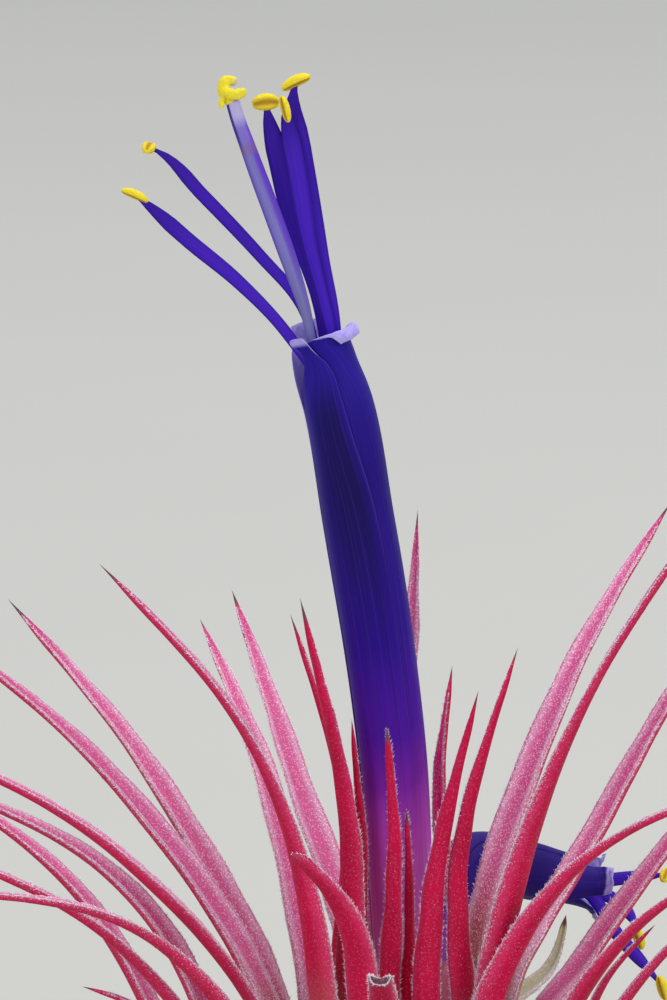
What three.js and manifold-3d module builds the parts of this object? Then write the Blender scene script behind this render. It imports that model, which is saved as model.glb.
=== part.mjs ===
// A sky plant in bloom: a rosette of channelled, pointed leaves on a short rooted stem, with one
// open violet tube flower standing out of it and an older flower bent over behind.
// Millimetres, +Z up. The origin is the middle of the flat foot that the stem stands on. The open
// flower leans towards -X, and -Y is the front.

import * as THREE from 'three';
import { mergeVertices } from 'three/addons/utils/BufferGeometryUtils.js';
import Module from 'manifold-3d';

const wasm = await Module();
wasm.setup();

// Driving dimensions

const GAP = 0.3;                  // clear space between neighbours that touch in life
const BLADE_THICKNESS = 0.6;      // leaf sheaths, petals and sepals

const STEM_HEIGHT = 17.2;
const STEM_FOOT_RADIUS = 2.6;
const STEM_TOP_RADIUS = 1.9;
const ROOT_COUNT = 9;
const ROOT_RADIUS = 0.45;
const ROOT_CLEARANCE = 0.33;      // from the floor to the outer half of a root
// The four-cornered foot that the stem stands on, which lies round the plant's weight
const FOOT_CENTRE = [-1.3, 1];
const FOOT_SPREAD = 3.8;
const FOOT_TOP = 2.2;
const FOOT_HEIGHT = 1.1;
const CORE_RISE = 0.4;            // from the floor to the round core of the stem

// The leaves sit in nested layers, like the scales of a bulb. Layer 0 is the innermost leaf, and
// the floral bract is one layer inside it.
const LAYER_ATTACH_TOP = 15;      // height on the stem where layer 0 grows
const LAYER_ATTACH_STEP = 1.12;   // each layer outside it grows that much lower
const LAYER_NECK_RADIUS = 4.1;    // distance from the axis where the blade leaves its sheath
const LAYER_NECK_STEP = 0.82;
const LAYER_NECK_HEIGHT = 23;     // and how high that is
const LAYER_NECK_DROP = 0.4;      // each layer outside it is lower, the outer ones by more
const LAYER_NECK_DROP_MORE = 0.07;
const LAYER_LEAN = 3;             // degrees out of upright at the neck
const LAYER_LEAN_MORE = 0.2;      // the outer layers lean further
const ATTACH_LEAN = 68;           // degrees out of upright where a sheath leaves the stem

const BULB_HEIGHT = 13;           // the leaves' leans are measured from there
const SHEATH_WIDTH = 1.7;         // what the sheath adds to the blade's width
const FOOT_SHARE = 0.4;           // how much of its sheath's width a leaf has at the stem
const TIP_WIDTH = 0.3;
const BLADE_SPREAD = 2.45;        // what the blade's width grows to past that
const BLADE_REACH = 16;           // and how far below the tip it has two thirds of it

const FLOWER_FOOT = STEM_HEIGHT + GAP;
const PETAL_TUCK = 0.34;          // how far a petal's edges stand out and in for the overlap
const PETAL_HALF_TURN = 75;       // degrees that a petal covers to each side of its middle
const FILAMENT_WIDTH = 1.1;       // where the filaments stand clear of the tube
const FILAMENT_THICKNESS = 0.6;
const ANTHER_WIDTH = 0.7;

// Colours

function finish(color, roughness) {
  return new THREE.MeshStandardMaterial({ color, roughness, metalness: 0 });
}

const LEAF_RED = finish(0xb0224c, 0.6);
const LEAF_ROSE = finish(0xb8557a, 0.65);
const LEAF_PALE = finish(0xb9c3a2, 0.7);
const STEM_BROWN = finish(0x6e5338, 0.85);
const PETAL_VIOLET = finish(0x2d1d70, 0.5);
const SEPAL_GREEN = finish(0x9fa98a, 0.6);
const FILAMENT_VIOLET = finish(0x35208f, 0.45);
const STYLE_LILAC = finish(0x6a57a0, 0.45);
const POLLEN_YELLOW = finish(0xc9b01c, 0.8);

// Geometry helpers

function degrees(angle) {
  return (angle * Math.PI) / 180;
}

function mix(from, to, share) {
  return from + (to - from) * share;
}

function smoothStep(from, to, value) {
  const share = Math.min(1, Math.max(0, (value - from) / (to - from)));
  return share * share * (3 - 2 * share);
}

// The same draws on every run
function seededDraw(seed) {
  let state = seed;
  return (low, high) => {
    state = (state * 1103515245 + 12345) % 2147483648;
    return mix(low, high, state / 2147483648);
  };
}

// One closed body from a row of rings with the same even number of points each. A ring runs from
// one edge over the outer face to the other edge, and back over the inner face. Both faces are
// split into triangles alike. The body ends in a point where one is given.
function bodyFromRings(rings, endPoint = null) {
  const count = rings[0].length;
  const half = count / 2;
  const positions = rings.flat().flatMap((point) => [point.x, point.y, point.z]);
  const faces = [];
  for (let row = 0; row + 1 < rings.length; row += 1) {
    for (let side = 0; side < count; side += 1) {
      const next = (side + 1) % count;
      const a = row * count + side;
      const b = row * count + next;
      const c = (row + 1) * count + next;
      const d = (row + 1) * count + side;
      if (side < half) {
        faces.push(a, b, c, a, c, d);
      } else {
        faces.push(a, b, d, b, c, d);
      }
    }
  }
  faces.push(...capFaces(0, count, true));
  const last = (rings.length - 1) * count;
  if (endPoint) {
    const point = positions.length / 3;
    positions.push(endPoint.x, endPoint.y, endPoint.z);
    for (let side = 0; side < count; side += 1) {
      faces.push(last + side, last + ((side + 1) % count), point);
    }
  } else {
    faces.push(...capFaces(last, count, false));
  }
  const geometry = new THREE.BufferGeometry();
  geometry.setAttribute('position', new THREE.Float32BufferAttribute(positions, 3));
  geometry.setIndex(faces);
  return geometry;
}

// A ring's own face, as a strip between its outer and inner points
function capFaces(first, count, facesBack) {
  const faces = [];
  for (let side = 0; side < count / 2; side += 1) {
    const a = first + side;
    const b = first + side + 1;
    const c = first + count - side - 1;
    const d = first + ((count - side) % count);
    const pair = [];
    if (b !== c) {
      pair.push([a, b, c]);
    }
    if (d !== a) {
      pair.push([a, c, d]);
    }
    for (const face of pair) {
      faces.push(...(facesBack ? face.reverse() : face));
    }
  }
  return faces;
}

// Directions at a point of a path: along it, across it and inward, where hint is roughly across
function frameAt(path, share, hint) {
  const step = 0.004;
  const along = path(Math.min(1, share + step)).sub(path(Math.max(0, share - step))).normalize();
  const across = hint.clone().addScaledVector(along, -hint.dot(along)).normalize();
  const inward = new THREE.Vector3().crossVectors(along, across);
  return { along, across, inward };
}

// An oval ring of points round a path, as wide and thick as given
function ovalRing(centre, frame, width, thickness, sides) {
  const ring = [];
  for (let side = 0; side < sides; side += 1) {
    const angle = Math.PI + (2 * Math.PI * side) / sides;
    ring.push(centre.clone()
      .addScaledVector(frame.across, (Math.cos(angle) * width) / 2)
      .addScaledVector(frame.inward, (Math.sin(angle) * thickness) / 2));
  }
  return ring;
}

// A stalk along a path, whose width and thickness are functions of the share of its length
function stalk(path, { width, thickness, hint, rows, sides, pointed = false }) {
  const rings = [];
  for (let row = 0; row <= rows; row += 1) {
    const share = row / rows;
    if (pointed && row === rows) {
      break;
    }
    const frame = frameAt(path, share, hint);
    rings.push(ovalRing(path(share), frame, width(share), thickness(share), sides));
  }
  return bodyFromRings(rings, pointed ? path(1) : null);
}

function pathThrough(points) {
  const curve = new THREE.CatmullRomCurve3(points.map((point) => new THREE.Vector3(...point)));
  return (share) => curve.getPointAt(share);
}

// Merges the points that a geometry class repeats where its faces meet
function weld(geometry) {
  geometry.deleteAttribute('normal');
  geometry.deleteAttribute('uv');
  return mergeVertices(geometry, 1e-4);
}

// Joins bodies that grow from each other into one body
function fused(geometries) {
  const solids = geometries.map((geometry) => {
    const welded = mergeVertices(geometry, 1e-4);
    return new wasm.Manifold(new wasm.Mesh({
      numProp: 3,
      vertProperties: new Float32Array(welded.getAttribute('position').array),
      triVerts: new Uint32Array(welded.getIndex().array),
    }));
  });
  const whole = solids.reduce((sum, solid) => sum.add(solid));
  const mesh = whole.getMesh();
  const geometry = new THREE.BufferGeometry();
  geometry.setAttribute('position', new THREE.Float32BufferAttribute(mesh.vertProperties, 3));
  geometry.setIndex([...mesh.triVerts]);
  return geometry;
}

const plant = new THREE.Group();

function addPart(name, geometry, material) {
  const mesh = new THREE.Mesh(geometry, material);
  mesh.name = name;
  plant.add(mesh);
}

// Stem and roots

function stemRadius(height) {
  return mix(STEM_FOOT_RADIUS, STEM_TOP_RADIUS, height / STEM_HEIGHT);
}

function stemWithRoots() {
  const draw = seededDraw(11);
  const pieces = [];
  const core = new THREE.LatheGeometry([
    new THREE.Vector2(0, CORE_RISE),
    new THREE.Vector2(stemRadius(CORE_RISE), CORE_RISE),
    new THREE.Vector2(STEM_TOP_RADIUS, STEM_HEIGHT),
    new THREE.Vector2(0, STEM_HEIGHT),
  ], 20);
  core.rotateX(Math.PI / 2);
  pieces.push(weld(core));
  const foot = new THREE.LatheGeometry([
    new THREE.Vector2(0, 0),
    new THREE.Vector2(FOOT_SPREAD, 0),
    new THREE.Vector2(FOOT_TOP, FOOT_HEIGHT),
    new THREE.Vector2(0, FOOT_HEIGHT),
  ], 4);
  foot.rotateX(Math.PI / 2);
  foot.translate(...FOOT_CENTRE, 0);
  pieces.push(weld(foot));
  for (let root = 0; root < ROOT_COUNT; root += 1) {
    const azimuth = (2 * Math.PI * (root + draw(-0.25, 0.25))) / ROOT_COUNT;
    const reach = draw(8, 14);
    const bend = draw(-0.5, 0.5);
    const thickness = (share) => 2 * ROOT_RADIUS * (1 - 0.4 * share);
    const path = pathThrough([0, 0.35, 0.7, 1].map((share) => {
      const radius = mix(STEM_FOOT_RADIUS - 0.9, reach, share);
      const turn = azimuth + bend * share * share;
      const lowest = (thickness(share) / 2) * Math.sin(Math.PI / 3) + ROOT_CLEARANCE;
      const height = mix(0.95, lowest, Math.min(1, share * 2));
      return [radius * Math.cos(turn), radius * Math.sin(turn), height];
    }));
    pieces.push(stalk(path, {
      width: thickness,
      thickness,
      hint: new THREE.Vector3(-Math.sin(azimuth), Math.cos(azimuth), 0),
      rows: 6,
      sides: 6,
    }));
  }
  return fused(pieces);
}

// Leaves

// A sheath's curve in the plane through the plant's axis. It leaves each end towards the corner
// where the lines of its two leans, in degrees out of upright, cross.
function cupCurve(from, fromLean, to, toLean, share) {
  const fromSlope = Math.tan(degrees(fromLean));
  const toSlope = Math.tan(degrees(toLean));
  const cornerHeight = (from.radius - fromSlope * from.height - to.radius + toSlope * to.height)
    / (toSlope - fromSlope);
  const cornerRadius = from.radius + fromSlope * (cornerHeight - from.height);
  const weights = [(1 - share) ** 3, 3 * share * (1 - share), share ** 3];
  return {
    radius: weights[0] * from.radius + weights[1] * cornerRadius + weights[2] * to.radius,
    height: weights[0] * from.height + weights[1] * cornerHeight + weights[2] * to.height,
  };
}

function layerAttach(layer) {
  const height = LAYER_ATTACH_TOP - LAYER_ATTACH_STEP * layer;
  return { radius: stemRadius(height) + GAP + BLADE_THICKNESS / 2, height };
}

function layerNeck(layer) {
  return {
    radius: LAYER_NECK_RADIUS + LAYER_NECK_STEP * layer,
    height: LAYER_NECK_HEIGHT - LAYER_NECK_DROP * layer - LAYER_NECK_DROP_MORE * layer * layer,
  };
}

function layerLean(layer) {
  return LAYER_LEAN + LAYER_LEAN_MORE * layer * layer;
}

const SHEATH_SHARE = 0.34;        // the part of a leaf's path that is its sheath

// The middle line of a leaf, as a function of the share of its path. The sheath keeps to its
// layer, and the blade then runs smoothly past its middle point to the tip.
function leafPath(leaf) {
  const attach = layerAttach(leaf.layer);
  const neck = layerNeck(leaf.layer);
  const neckLean = layerLean(leaf.layer);
  const turn = degrees(leaf.azimuth);
  const outward = new THREE.Vector3(Math.cos(turn), Math.sin(turn), 0);
  const inPlane = (radius, height) => outward.clone().multiplyScalar(radius).setZ(height);
  const start = inPlane(neck.radius, neck.height);
  const middle = new THREE.Vector3(...leaf.middle);
  const tip = new THREE.Vector3(...leaf.tip);
  const lower = middle.distanceTo(start);
  const upper = tip.distanceTo(middle);
  const startPull = inPlane(Math.sin(degrees(neckLean)), Math.cos(degrees(neckLean)));
  const middlePull = middle.clone().sub(start).multiplyScalar(upper / lower)
    .addScaledVector(tip.clone().sub(middle), lower / upper).normalize();
  const tipPull = tip.clone().sub(middle).multiplyScalar(1.5 / upper)
    .addScaledVector(middlePull, -0.5);
  const split = mix(SHEATH_SHARE, 1, lower / (lower + upper));
  return (share) => {
    if (share < SHEATH_SHARE) {
      const place = cupCurve(attach, ATTACH_LEAN, neck, neckLean, share / SHEATH_SHARE);
      return inPlane(place.radius, place.height);
    }
    if (share < split) {
      const lowerShare = (share - SHEATH_SHARE) / (split - SHEATH_SHARE);
      return hermite(start, startPull, middle, middlePull, lower, lowerShare);
    }
    const upperShare = (share - split) / (1 - split);
    return hermite(middle, middlePull, tip, tipPull, upper, upperShare);
  };
}

// A smooth curve between two points, given its direction at each end
function hermite(from, fromPull, to, toPull, pull, share) {
  const weights = hermiteWeights(share);
  return from.clone().multiplyScalar(weights[0])
    .addScaledVector(fromPull, weights[1] * pull)
    .addScaledVector(to, weights[2])
    .addScaledVector(toPull, weights[3] * pull);
}

function hermiteWeights(share) {
  const s2 = share * share;
  const s3 = s2 * share;
  return [2 * s3 - 3 * s2 + 1, s3 - 2 * s2 + share, -2 * s3 + 3 * s2, s3 - s2];
}

function pathLengths(path, steps) {
  const lengths = [0];
  for (let step = 1; step <= steps; step += 1) {
    lengths.push(lengths[step - 1] + path(step / steps).distanceTo(path((step - 1) / steps)));
  }
  return lengths;
}

const LEAF_STATIONS = [0, 0.08, 0.16, 0.25, 0.34, 0.41, 0.48, 0.56, 0.64, 0.72, 0.8, 0.88, 0.95];
const BLUNT_STATION = 0.985;      // a cut leaf's last section, just below its blunt end
const CHANNEL = [-1, -0.55, 0, 0.55, 1];

function leafWidth(fromFoot, toTip, leaf) {
  const blade = TIP_WIDTH + BLADE_SPREAD * (1 - Math.exp(-((toTip / BLADE_REACH) ** 1.25)));
  const sheath = SHEATH_WIDTH * (1 - smoothStep(3.5, 13, fromFoot));
  const foot = mix(FOOT_SHARE, 1, smoothStep(0, 5.5, fromFoot));
  return (blade * (leaf.width ?? 1) + sheath * (leaf.sheath ?? 1)) * foot;
}

// The crescent section of a leaf. Near the foot it follows the circle round the plant's axis, and
// further out it is a channel of its own.
function leafRing(centre, frame, width, thickness, bend) {
  const place = (across, lift) => {
    const turn = (across * width) / 2 / bend;
    return centre.clone()
      .addScaledVector(frame.across, (bend - lift) * Math.sin(turn))
      .addScaledVector(frame.inward, bend - (bend - lift) * Math.cos(turn));
  };
  const half = (across) => (thickness / 2) * Math.sqrt(1 - across * across * 0.75);
  const edges = [place(-1, 0), place(1, 0)];
  const outer = CHANNEL.slice(1, -1).map((across) => place(across, -half(across)));
  const inner = CHANNEL.slice(1, -1).reverse().map((across) => place(across, half(across)));
  return [edges[0], ...outer, edges[1], ...inner];
}

function leafBody(leaf) {
  const path = leafPath(leaf);
  const steps = 60;
  const lengths = pathLengths(path, steps);
  const whole = lengths[steps];
  const stations = leaf.cut ? [...LEAF_STATIONS, BLUNT_STATION] : LEAF_STATIONS;
  const rings = stations.map((share) => {
    const centre = path(share);
    const fromFoot = lengths[Math.round(share * steps)];
    const toTip = whole - fromFoot + (leaf.cut ?? 0);
    const turn = Math.atan2(centre.y, centre.x);
    const frame = frameAt(path, share, new THREE.Vector3(-Math.sin(turn), Math.cos(turn), 0));
    const width = leafWidth(fromFoot, toTip, leaf);
    const thickness = Math.min(
      mix(BLADE_THICKNESS, Math.max(BLADE_THICKNESS, 0.42 * width), smoothStep(10, 20, fromFoot)),
      BLADE_THICKNESS * smoothStep(-6, 4, toTip) + 0.02 * toTip,
    );
    const upright = Math.hypot(frame.across.x, frame.across.y);
    const wrap = Math.hypot(centre.x, centre.y) / Math.max(0.4, frame.along.z * upright);
    const own = 0.75 * width;
    const bend = mix(wrap, own, smoothStep(8, 22, fromFoot));
    return leafRing(centre, frame, width, thickness, Math.max(bend, width * 0.4));
  });
  return bodyFromRings(rings, path(1));
}

// The leaves that show, by the places of the tip and of the middle of the blade in mm, and the
// direction that the sheath faces in degrees from +X. Width and sheath are against the usual leaf,
// and cut is how much of a withered tip is missing.
const LEAVES_IN_VIEW = [
  { tip: [-3.8, -1.7, 42.1], middle: [-3.2, -1.9, 35.5], azimuth: 215, width: 0.8, sheath: 0.5 },
  { tip: [-1.7, -3.6, 42.2], middle: [-1.3, -3.8, 36.7], azimuth: 251, width: 0.8, sheath: 0.5 },
  { tip: [3.8, -3, 44.2], middle: [1.4, -4.5, 33.9], azimuth: 275, width: 0.9, sheath: 0.5 },
  { tip: [2.3, 0.8, 44.8], middle: [1.55, 1.8, 37], azimuth: 36, width: 0.8, sheath: 0.5 },
  { tip: [6.2, -1.5, 46.5], middle: [2.8, -3.6, 34.3], azimuth: 302, width: 0.85, sheath: 0.6 },
  { tip: [-7.5, -0.4, 48.3], middle: [-4.2, -0.9, 36], azimuth: 180, width: 0.8, sheath: 0.6 },
  { tip: [-6.9, -3, 49.9], middle: [-3.9, -3.3, 33.8], azimuth: 222, sheath: 0.7 },
  { tip: [0.3, 9, 52.7], middle: [-0.2, 6.5, 45], azimuth: 122, sheath: 0.7 },
  { tip: [17.4, 0, 54.3], middle: [9.6, -2.2, 42], azimuth: 302 },
  { tip: [-19.1, 1.5, 51], middle: [-9.6, -0.8, 40], azimuth: 226 },
  { tip: [-7.3, -12, 36.6], middle: [-4.7, -10, 33.1], azimuth: 250, width: 1.3, cut: 4 },
  { tip: [16.6, 20, 50.9], middle: [8.9, 10, 39.8], azimuth: 43 },
  { tip: [21, 11, 48.8], middle: [11.9, 7.3, 33.6], azimuth: 12 },
  { tip: [21.1, -6, 39.7], middle: [9.3, -6.2, 33.8], azimuth: 292 },
  { tip: [-11.5, 27, 43.5], middle: [-7.5, 15, 34.7], azimuth: 118 },
  { tip: [23.7, 12, 39.9], middle: [11.5, 8, 25.2], azimuth: 30 },
  { tip: [22.7, -9, 37.2], middle: [12.9, -8, 30.7], azimuth: 322 },
  { tip: [19, -12, 34.9], middle: [13.4, -10, 28.4], azimuth: 318, width: 0.8 },
  { tip: [-25.9, 24, 43.6], middle: [-15, 14, 32.4], azimuth: 138 },
  { tip: [-29.8, 17, 43.2], middle: [-18.8, 12, 34.9], azimuth: 152 },
  { tip: [14.4, -6, 30.5], middle: [11.6, -5, 27], azimuth: 338, width: 0.9 },
  { tip: [-31.5, -3, 41.7], middle: [-17.4, -3, 33.7], azimuth: 194 },
  { tip: [-13.7, 32, 40.4], middle: [-8.6, 18, 31], azimuth: 120 },
  { tip: [9.7, 10.3, 26.4], middle: [8.9, 8.5, 24], azimuth: 50, width: 2, colour: LEAF_PALE },
  { tip: [-2.2, -18, 30.7], middle: [-2.1, -14, 28.7], azimuth: 264, cut: 9 },
  { tip: [-32.4, 8, 37.3], middle: [-21.4, 6, 29.9], azimuth: 168 },
  { tip: [-30, -8, 36.3], middle: [-17.8, -6, 29.3], azimuth: 204 },
  { tip: [-31.5, 13, 34.8], middle: [-17.3, 9, 28], azimuth: 154 },
  { tip: [-28, -12, 34.2], middle: [-16.6, -9, 31.1], azimuth: 216 },
  { tip: [-20.6, 7.4, 22.6], middle: [-17.2, 6.9, 21.5], azimuth: 160, width: 0.8 },
];

// The lower leaves, each turned by the golden angle from the last and leaning further out
const LOWER_LEAF_COUNT = 10;
const GOLDEN_ANGLE = 137.5;
const LOWER_FIRST_AZIMUTH = 72;

function lowerLeaves() {
  const leaves = [];
  for (let index = 0; index < LOWER_LEAF_COUNT; index += 1) {
    const share = index / (LOWER_LEAF_COUNT - 1);
    const azimuth = LOWER_FIRST_AZIMUTH + GOLDEN_ANGLE * index;
    const turn = degrees(azimuth);
    const place = (radius, height) => [radius * Math.cos(turn), radius * Math.sin(turn), height];
    leaves.push({
      tip: place(mix(37, 34, share), mix(22, 0.4, share ** 0.8)),
      middle: place(mix(23, 24, share), mix(20.5, 10, share)),
      azimuth,
      colour: LEAF_ROSE,
    });
  }
  return leaves;
}

// How far out of upright the middle of a blade is, in degrees, seen from inside the bulb
function leanOf(leaf) {
  const [x, y, height] = leaf.middle;
  return (Math.atan2(Math.hypot(x, y), height - BULB_HEIGHT) * 180) / Math.PI;
}

// How far apart two sheaths' directions are, in degrees
function turnBetween(one, other) {
  const turn = Math.abs(one - other) % 360;
  return Math.min(turn, 360 - turn);
}

// Half of the turn round the axis that a leaf covers in a layer, in degrees
function halfCover(leaf, layer) {
  const width = 2.7 * (leaf.width ?? 1) + SHEATH_WIDTH * (leaf.sheath ?? 1);
  const radius = mix(layerAttach(layer).radius, layerNeck(layer).radius, 0.5);
  return ((width / 2 + GAP / 2) / radius) * (180 / Math.PI);
}

// Packs the sheaths from the inside out: each leaf goes outside every leaf that it overlaps
function packLayers(leaves) {
  const placed = [];
  for (const leaf of [...leaves].sort((one, other) => leanOf(one) - leanOf(other))) {
    let layer = Math.max(0, (leanOf(leaf) - 18) / 11);
    for (const other of placed) {
      const apart = turnBetween(leaf.azimuth, other.azimuth);
      if (apart < halfCover(leaf, layer) + halfCover(other, other.layer)) {
        layer = Math.max(layer, other.layer + 1);
      }
    }
    leaf.layer = layer;
    placed.push(leaf);
  }
}

const leaves = [...LEAVES_IN_VIEW, ...lowerLeaves()];
packLayers(leaves);
leaves.forEach((leaf, index) => {
  addPart(`leaf_${String(index + 1).padStart(2, '0')}`, leafBody(leaf), leaf.colour ?? LEAF_RED);
});

addPart('stem', stemWithRoots(), STEM_BROWN);

// The open flower

// Where the middle of the tube runs, from the top of the stem to the mouth
const FLOWER_AXIS = pathThrough([
  [0, 0, FLOWER_FOOT],
  [-0.5, 0, 25],
  [-0.8, 0, 31],
  [-1.3, 0, 39.2],
  [-2.2, 0, 46.6],
  [-3.4, 0, 54],
  [-4.7, 0, 61.3],
  [-5.3, 0, 63.2],
  [-5.8, 0, 65.3],
]);
const FLOWER_LENGTH = 48.4;       // along the tube's axis
const TO_THE_RIGHT = new THREE.Vector3(1, 0, 0);

// A value read off a list of [share, value] pairs, with straight runs between them
function readOff(pairs, share) {
  const next = Math.max(1, pairs.findIndex(([limit]) => limit >= share));
  const [fromShare, from] = pairs[next - 1];
  const [toShare, to] = pairs[next];
  return mix(from, to, (share - fromShare) / (toShare - fromShare));
}

// The rows that the three petals share, from the foot upward: the share of the way up the tube, the
// radius of the middle of the petal's thickness, and how much of the full turn and of the full tuck
// its edges have
const PETAL_FOOT_ROWS = [
  { up: 0, radius: 1.5, turn: 0.62, tuck: 0 },
  { up: 0.07, radius: 1.54, turn: 0.81, tuck: 0.4 },
  { up: 0.14, radius: 1.58, turn: 1, tuck: 0.8 },
  { up: 0.24, radius: 1.62, turn: 1, tuck: 0.9 },
  { up: 0.35, radius: 1.7, turn: 1, tuck: 1 },
  { up: 0.46, radius: 1.76, turn: 1, tuck: 1 },
  { up: 0.57, radius: 1.8, turn: 1, tuck: 1 },
  { up: 0.68, radius: 1.85, turn: 1, tuck: 1 },
  { up: 0.78, radius: 1.84, turn: 1, tuck: 1 },
].map(({ up, radius, turn, tuck }) => ({
  up,
  edges: [-PETAL_HALF_TURN * turn, PETAL_HALF_TURN * turn],
  radii: [radius - PETAL_TUCK * tuck, radius, radius + PETAL_TUCK * tuck],
}));

// Each petal's middle, in degrees round the tube from +X, and its own rows near the mouth. A row
// has the directions of its two edges from that middle, in degrees, and the radii of its first
// edge, its middle and its second edge. A share above 1 is past the end of the tube's axis.
const PETALS = [
  {
    middle: 232,
    mouth: [
      { up: 0.87, edges: [-75, 64], radii: [1.48, 1.82, 2.14] },
      { up: 0.92, edges: [-58, 56], radii: [1.6, 1.76, 2.04] },
      { up: 0.95, edges: [-22, 50], radii: [1.68, 1.68, 1.9] },
      { up: 0.968, edges: [-6, 44], radii: [1.64, 1.62, 1.8] },
      { up: 0.98, edges: [-4, 30], radii: [1.62, 1.58, 1.7] },
      { up: 0.986, edges: [-8, 20], radii: [1.85, 1.66, 1.7] },
      { up: 0.993, edges: [-14, 13], radii: [2.3, 1.8, 1.72] },
      { up: 1, edges: [-14, 8], radii: [2.4, 1.9, 1.76] },
      { up: 1.008, edges: [-10, 3], radii: [2.2, 1.95, 1.82] },
    ],
  },
  {
    middle: 352,
    mouth: [
      { up: 0.87, edges: [-75, 75], radii: [1.48, 1.82, 2.14] },
      { up: 0.92, edges: [-78, 75], radii: [1.42, 1.78, 2.08] },
      { up: 0.95, edges: [-86, 72], radii: [1.36, 1.7, 1.96] },
      { up: 0.97, edges: [-92, 64], radii: [1.28, 1.62, 1.84] },
      { up: 0.982, edges: [-92, 52], radii: [1.22, 1.56, 1.7] },
      { up: 0.99, edges: [-86, 38], radii: [1.24, 1.56, 1.62] },
      { up: 0.996, edges: [-72, 24], radii: [1.34, 1.64, 1.62] },
      { up: 1, edges: [-56, 14], radii: [1.55, 1.86, 1.8] },
      { up: 1, edges: [-42, 8], radii: [1.9, 2.15, 2.1] },
      { up: 1.003, edges: [-30, 4], radii: [2.25, 2.42, 2.38] },
    ],
  },
  {
    middle: 112,
    mouth: [
      { up: 0.87, edges: [-75, 75], radii: [1.48, 1.82, 2.14] },
      { up: 0.92, edges: [-75, 75], radii: [1.42, 1.75, 2.06] },
      { up: 0.95, edges: [-74, 75], radii: [1.4, 1.68, 1.94] },
      { up: 0.968, edges: [-72, 74], radii: [1.36, 1.6, 1.84] },
      { up: 0.98, edges: [-70, 66], radii: [1.34, 1.56, 1.76] },
      { up: 0.988, edges: [-70, 46], radii: [1.38, 1.58, 1.68] },
      { up: 0.995, edges: [-71, 24], radii: [1.5, 1.66, 1.66] },
      { up: 1.002, edges: [-72, 4], radii: [1.7, 1.78, 1.72] },
      { up: 1.007, edges: [-70, -14], radii: [2, 2.05, 2] },
      { up: 1.006, edges: [-66, -28], radii: [2.3, 2.32, 2.28] },
    ],
  },
];
const PETAL_COLUMNS = [-1, -0.72, -0.38, 0, 0.38, 0.72, 1];

function petalBody({ middle, mouth }) {
  const rows = [...PETAL_FOOT_ROWS, ...mouth];
  const rings = rows.map(({ up, edges, radii }, row) => {
    const before = rows[Math.max(0, row - 1)];
    const after = rows[Math.min(rows.length - 1, row + 1)];
    const rise = (after.up - before.up) * FLOWER_LENGTH;
    const spread = after.radii[1] - before.radii[1];
    const length = Math.hypot(rise, spread);
    const share = Math.min(1, up);
    const frame = frameAt(FLOWER_AXIS, share, TO_THE_RIGHT);
    const place = (column, lift) => {
      const angle = degrees(middle + mix(edges[0], edges[1], (column + 1) / 2));
      const slope = (radii[2] - radii[0]) / 2;
      const bow = (radii[0] + radii[2]) / 2 - radii[1];
      const reach = radii[1] + slope * column + bow * column * column + (lift * rise) / length;
      return FLOWER_AXIS(share)
        .addScaledVector(frame.across, reach * Math.cos(angle))
        .addScaledVector(frame.inward, reach * Math.sin(angle))
        .addScaledVector(frame.along, (up - share) * FLOWER_LENGTH - (lift * spread) / length);
    };
    const half = (column) => (BLADE_THICKNESS / 2) * (1 - 0.85 * column * column);
    const between = PETAL_COLUMNS.slice(1, -1);
    const outer = between.map((column) => place(column, half(column)));
    const inner = [...between].reverse().map((column) => place(column, -half(column)));
    return [place(-1, 0), ...outer, place(1, 0), ...inner];
  });
  return bodyFromRings(rings);
}

// The three petals overlap the same way round: each has its second edge outside
PETALS.forEach((petal, index) => {
  addPart(`petal_${index + 1}`, petalBody(petal), PETAL_VIOLET);
});

// The calyx is a cup of three joined sepals round the foot of the tube
const CALYX_HEIGHT = 6.5;
const CALYX_LOBE_HEIGHT = 2.5;
const CALYX_THICKNESS = 0.6;
const CALYX_FOOT_RADIUS = 2.3;
const CALYX_TOP_RADIUS = 2.5;
const CALYX_SIDES = 24;

function calyxBody() {
  const rings = [];
  for (let side = 0; side < CALYX_SIDES; side += 1) {
    const turn = (2 * Math.PI * side) / CALYX_SIDES;
    const lobe = Math.abs(Math.cos(1.5 * turn)) ** 0.7;
    const height = CALYX_HEIGHT + CALYX_LOBE_HEIGHT * lobe;
    const levels = [0, 0.3, 0.65, 1];
    const place = (level, face) => {
      const swell = mix(CALYX_FOOT_RADIUS, CALYX_TOP_RADIUS, Math.min(1, level * 2.2));
      const radius = swell + face * (CALYX_THICKNESS / 2);
      const centre = FLOWER_AXIS((level * height) / FLOWER_LENGTH);
      return centre.add(new THREE.Vector3(radius * Math.cos(turn), radius * Math.sin(turn), 0));
    };
    rings.push([
      ...levels.map((level) => place(level, 1)),
      ...[...levels].reverse().map((level) => place(level, -1)),
    ]);
  }
  return loopBody(rings);
}

// One closed body from sections that stand in a circle, the last joined to the first
function loopBody(rings) {
  const count = rings[0].length;
  const positions = rings.flat().flatMap((point) => [point.x, point.y, point.z]);
  const faces = [];
  for (let row = 0; row < rings.length; row += 1) {
    const following = (row + 1) % rings.length;
    for (let side = 0; side < count; side += 1) {
      const next = (side + 1) % count;
      const a = row * count + side;
      const b = row * count + next;
      const c = following * count + next;
      const d = following * count + side;
      faces.push(a, c, b, a, d, c);
    }
  }
  const geometry = new THREE.BufferGeometry();
  geometry.setAttribute('position', new THREE.Float32BufferAttribute(positions, 3));
  geometry.setIndex(faces);
  return geometry;
}

addPart('calyx', calyxBody(), SEPAL_GREEN);

addPart('floral_bract', leafBody({
  tip: [-0.5, -2.9, 36.8],
  middle: [-0.3, -3, 31],
  azimuth: 264,
  layer: -0.8,
  width: 0.65,
  sheath: 0.8,
}), LEAF_RED);

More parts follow.
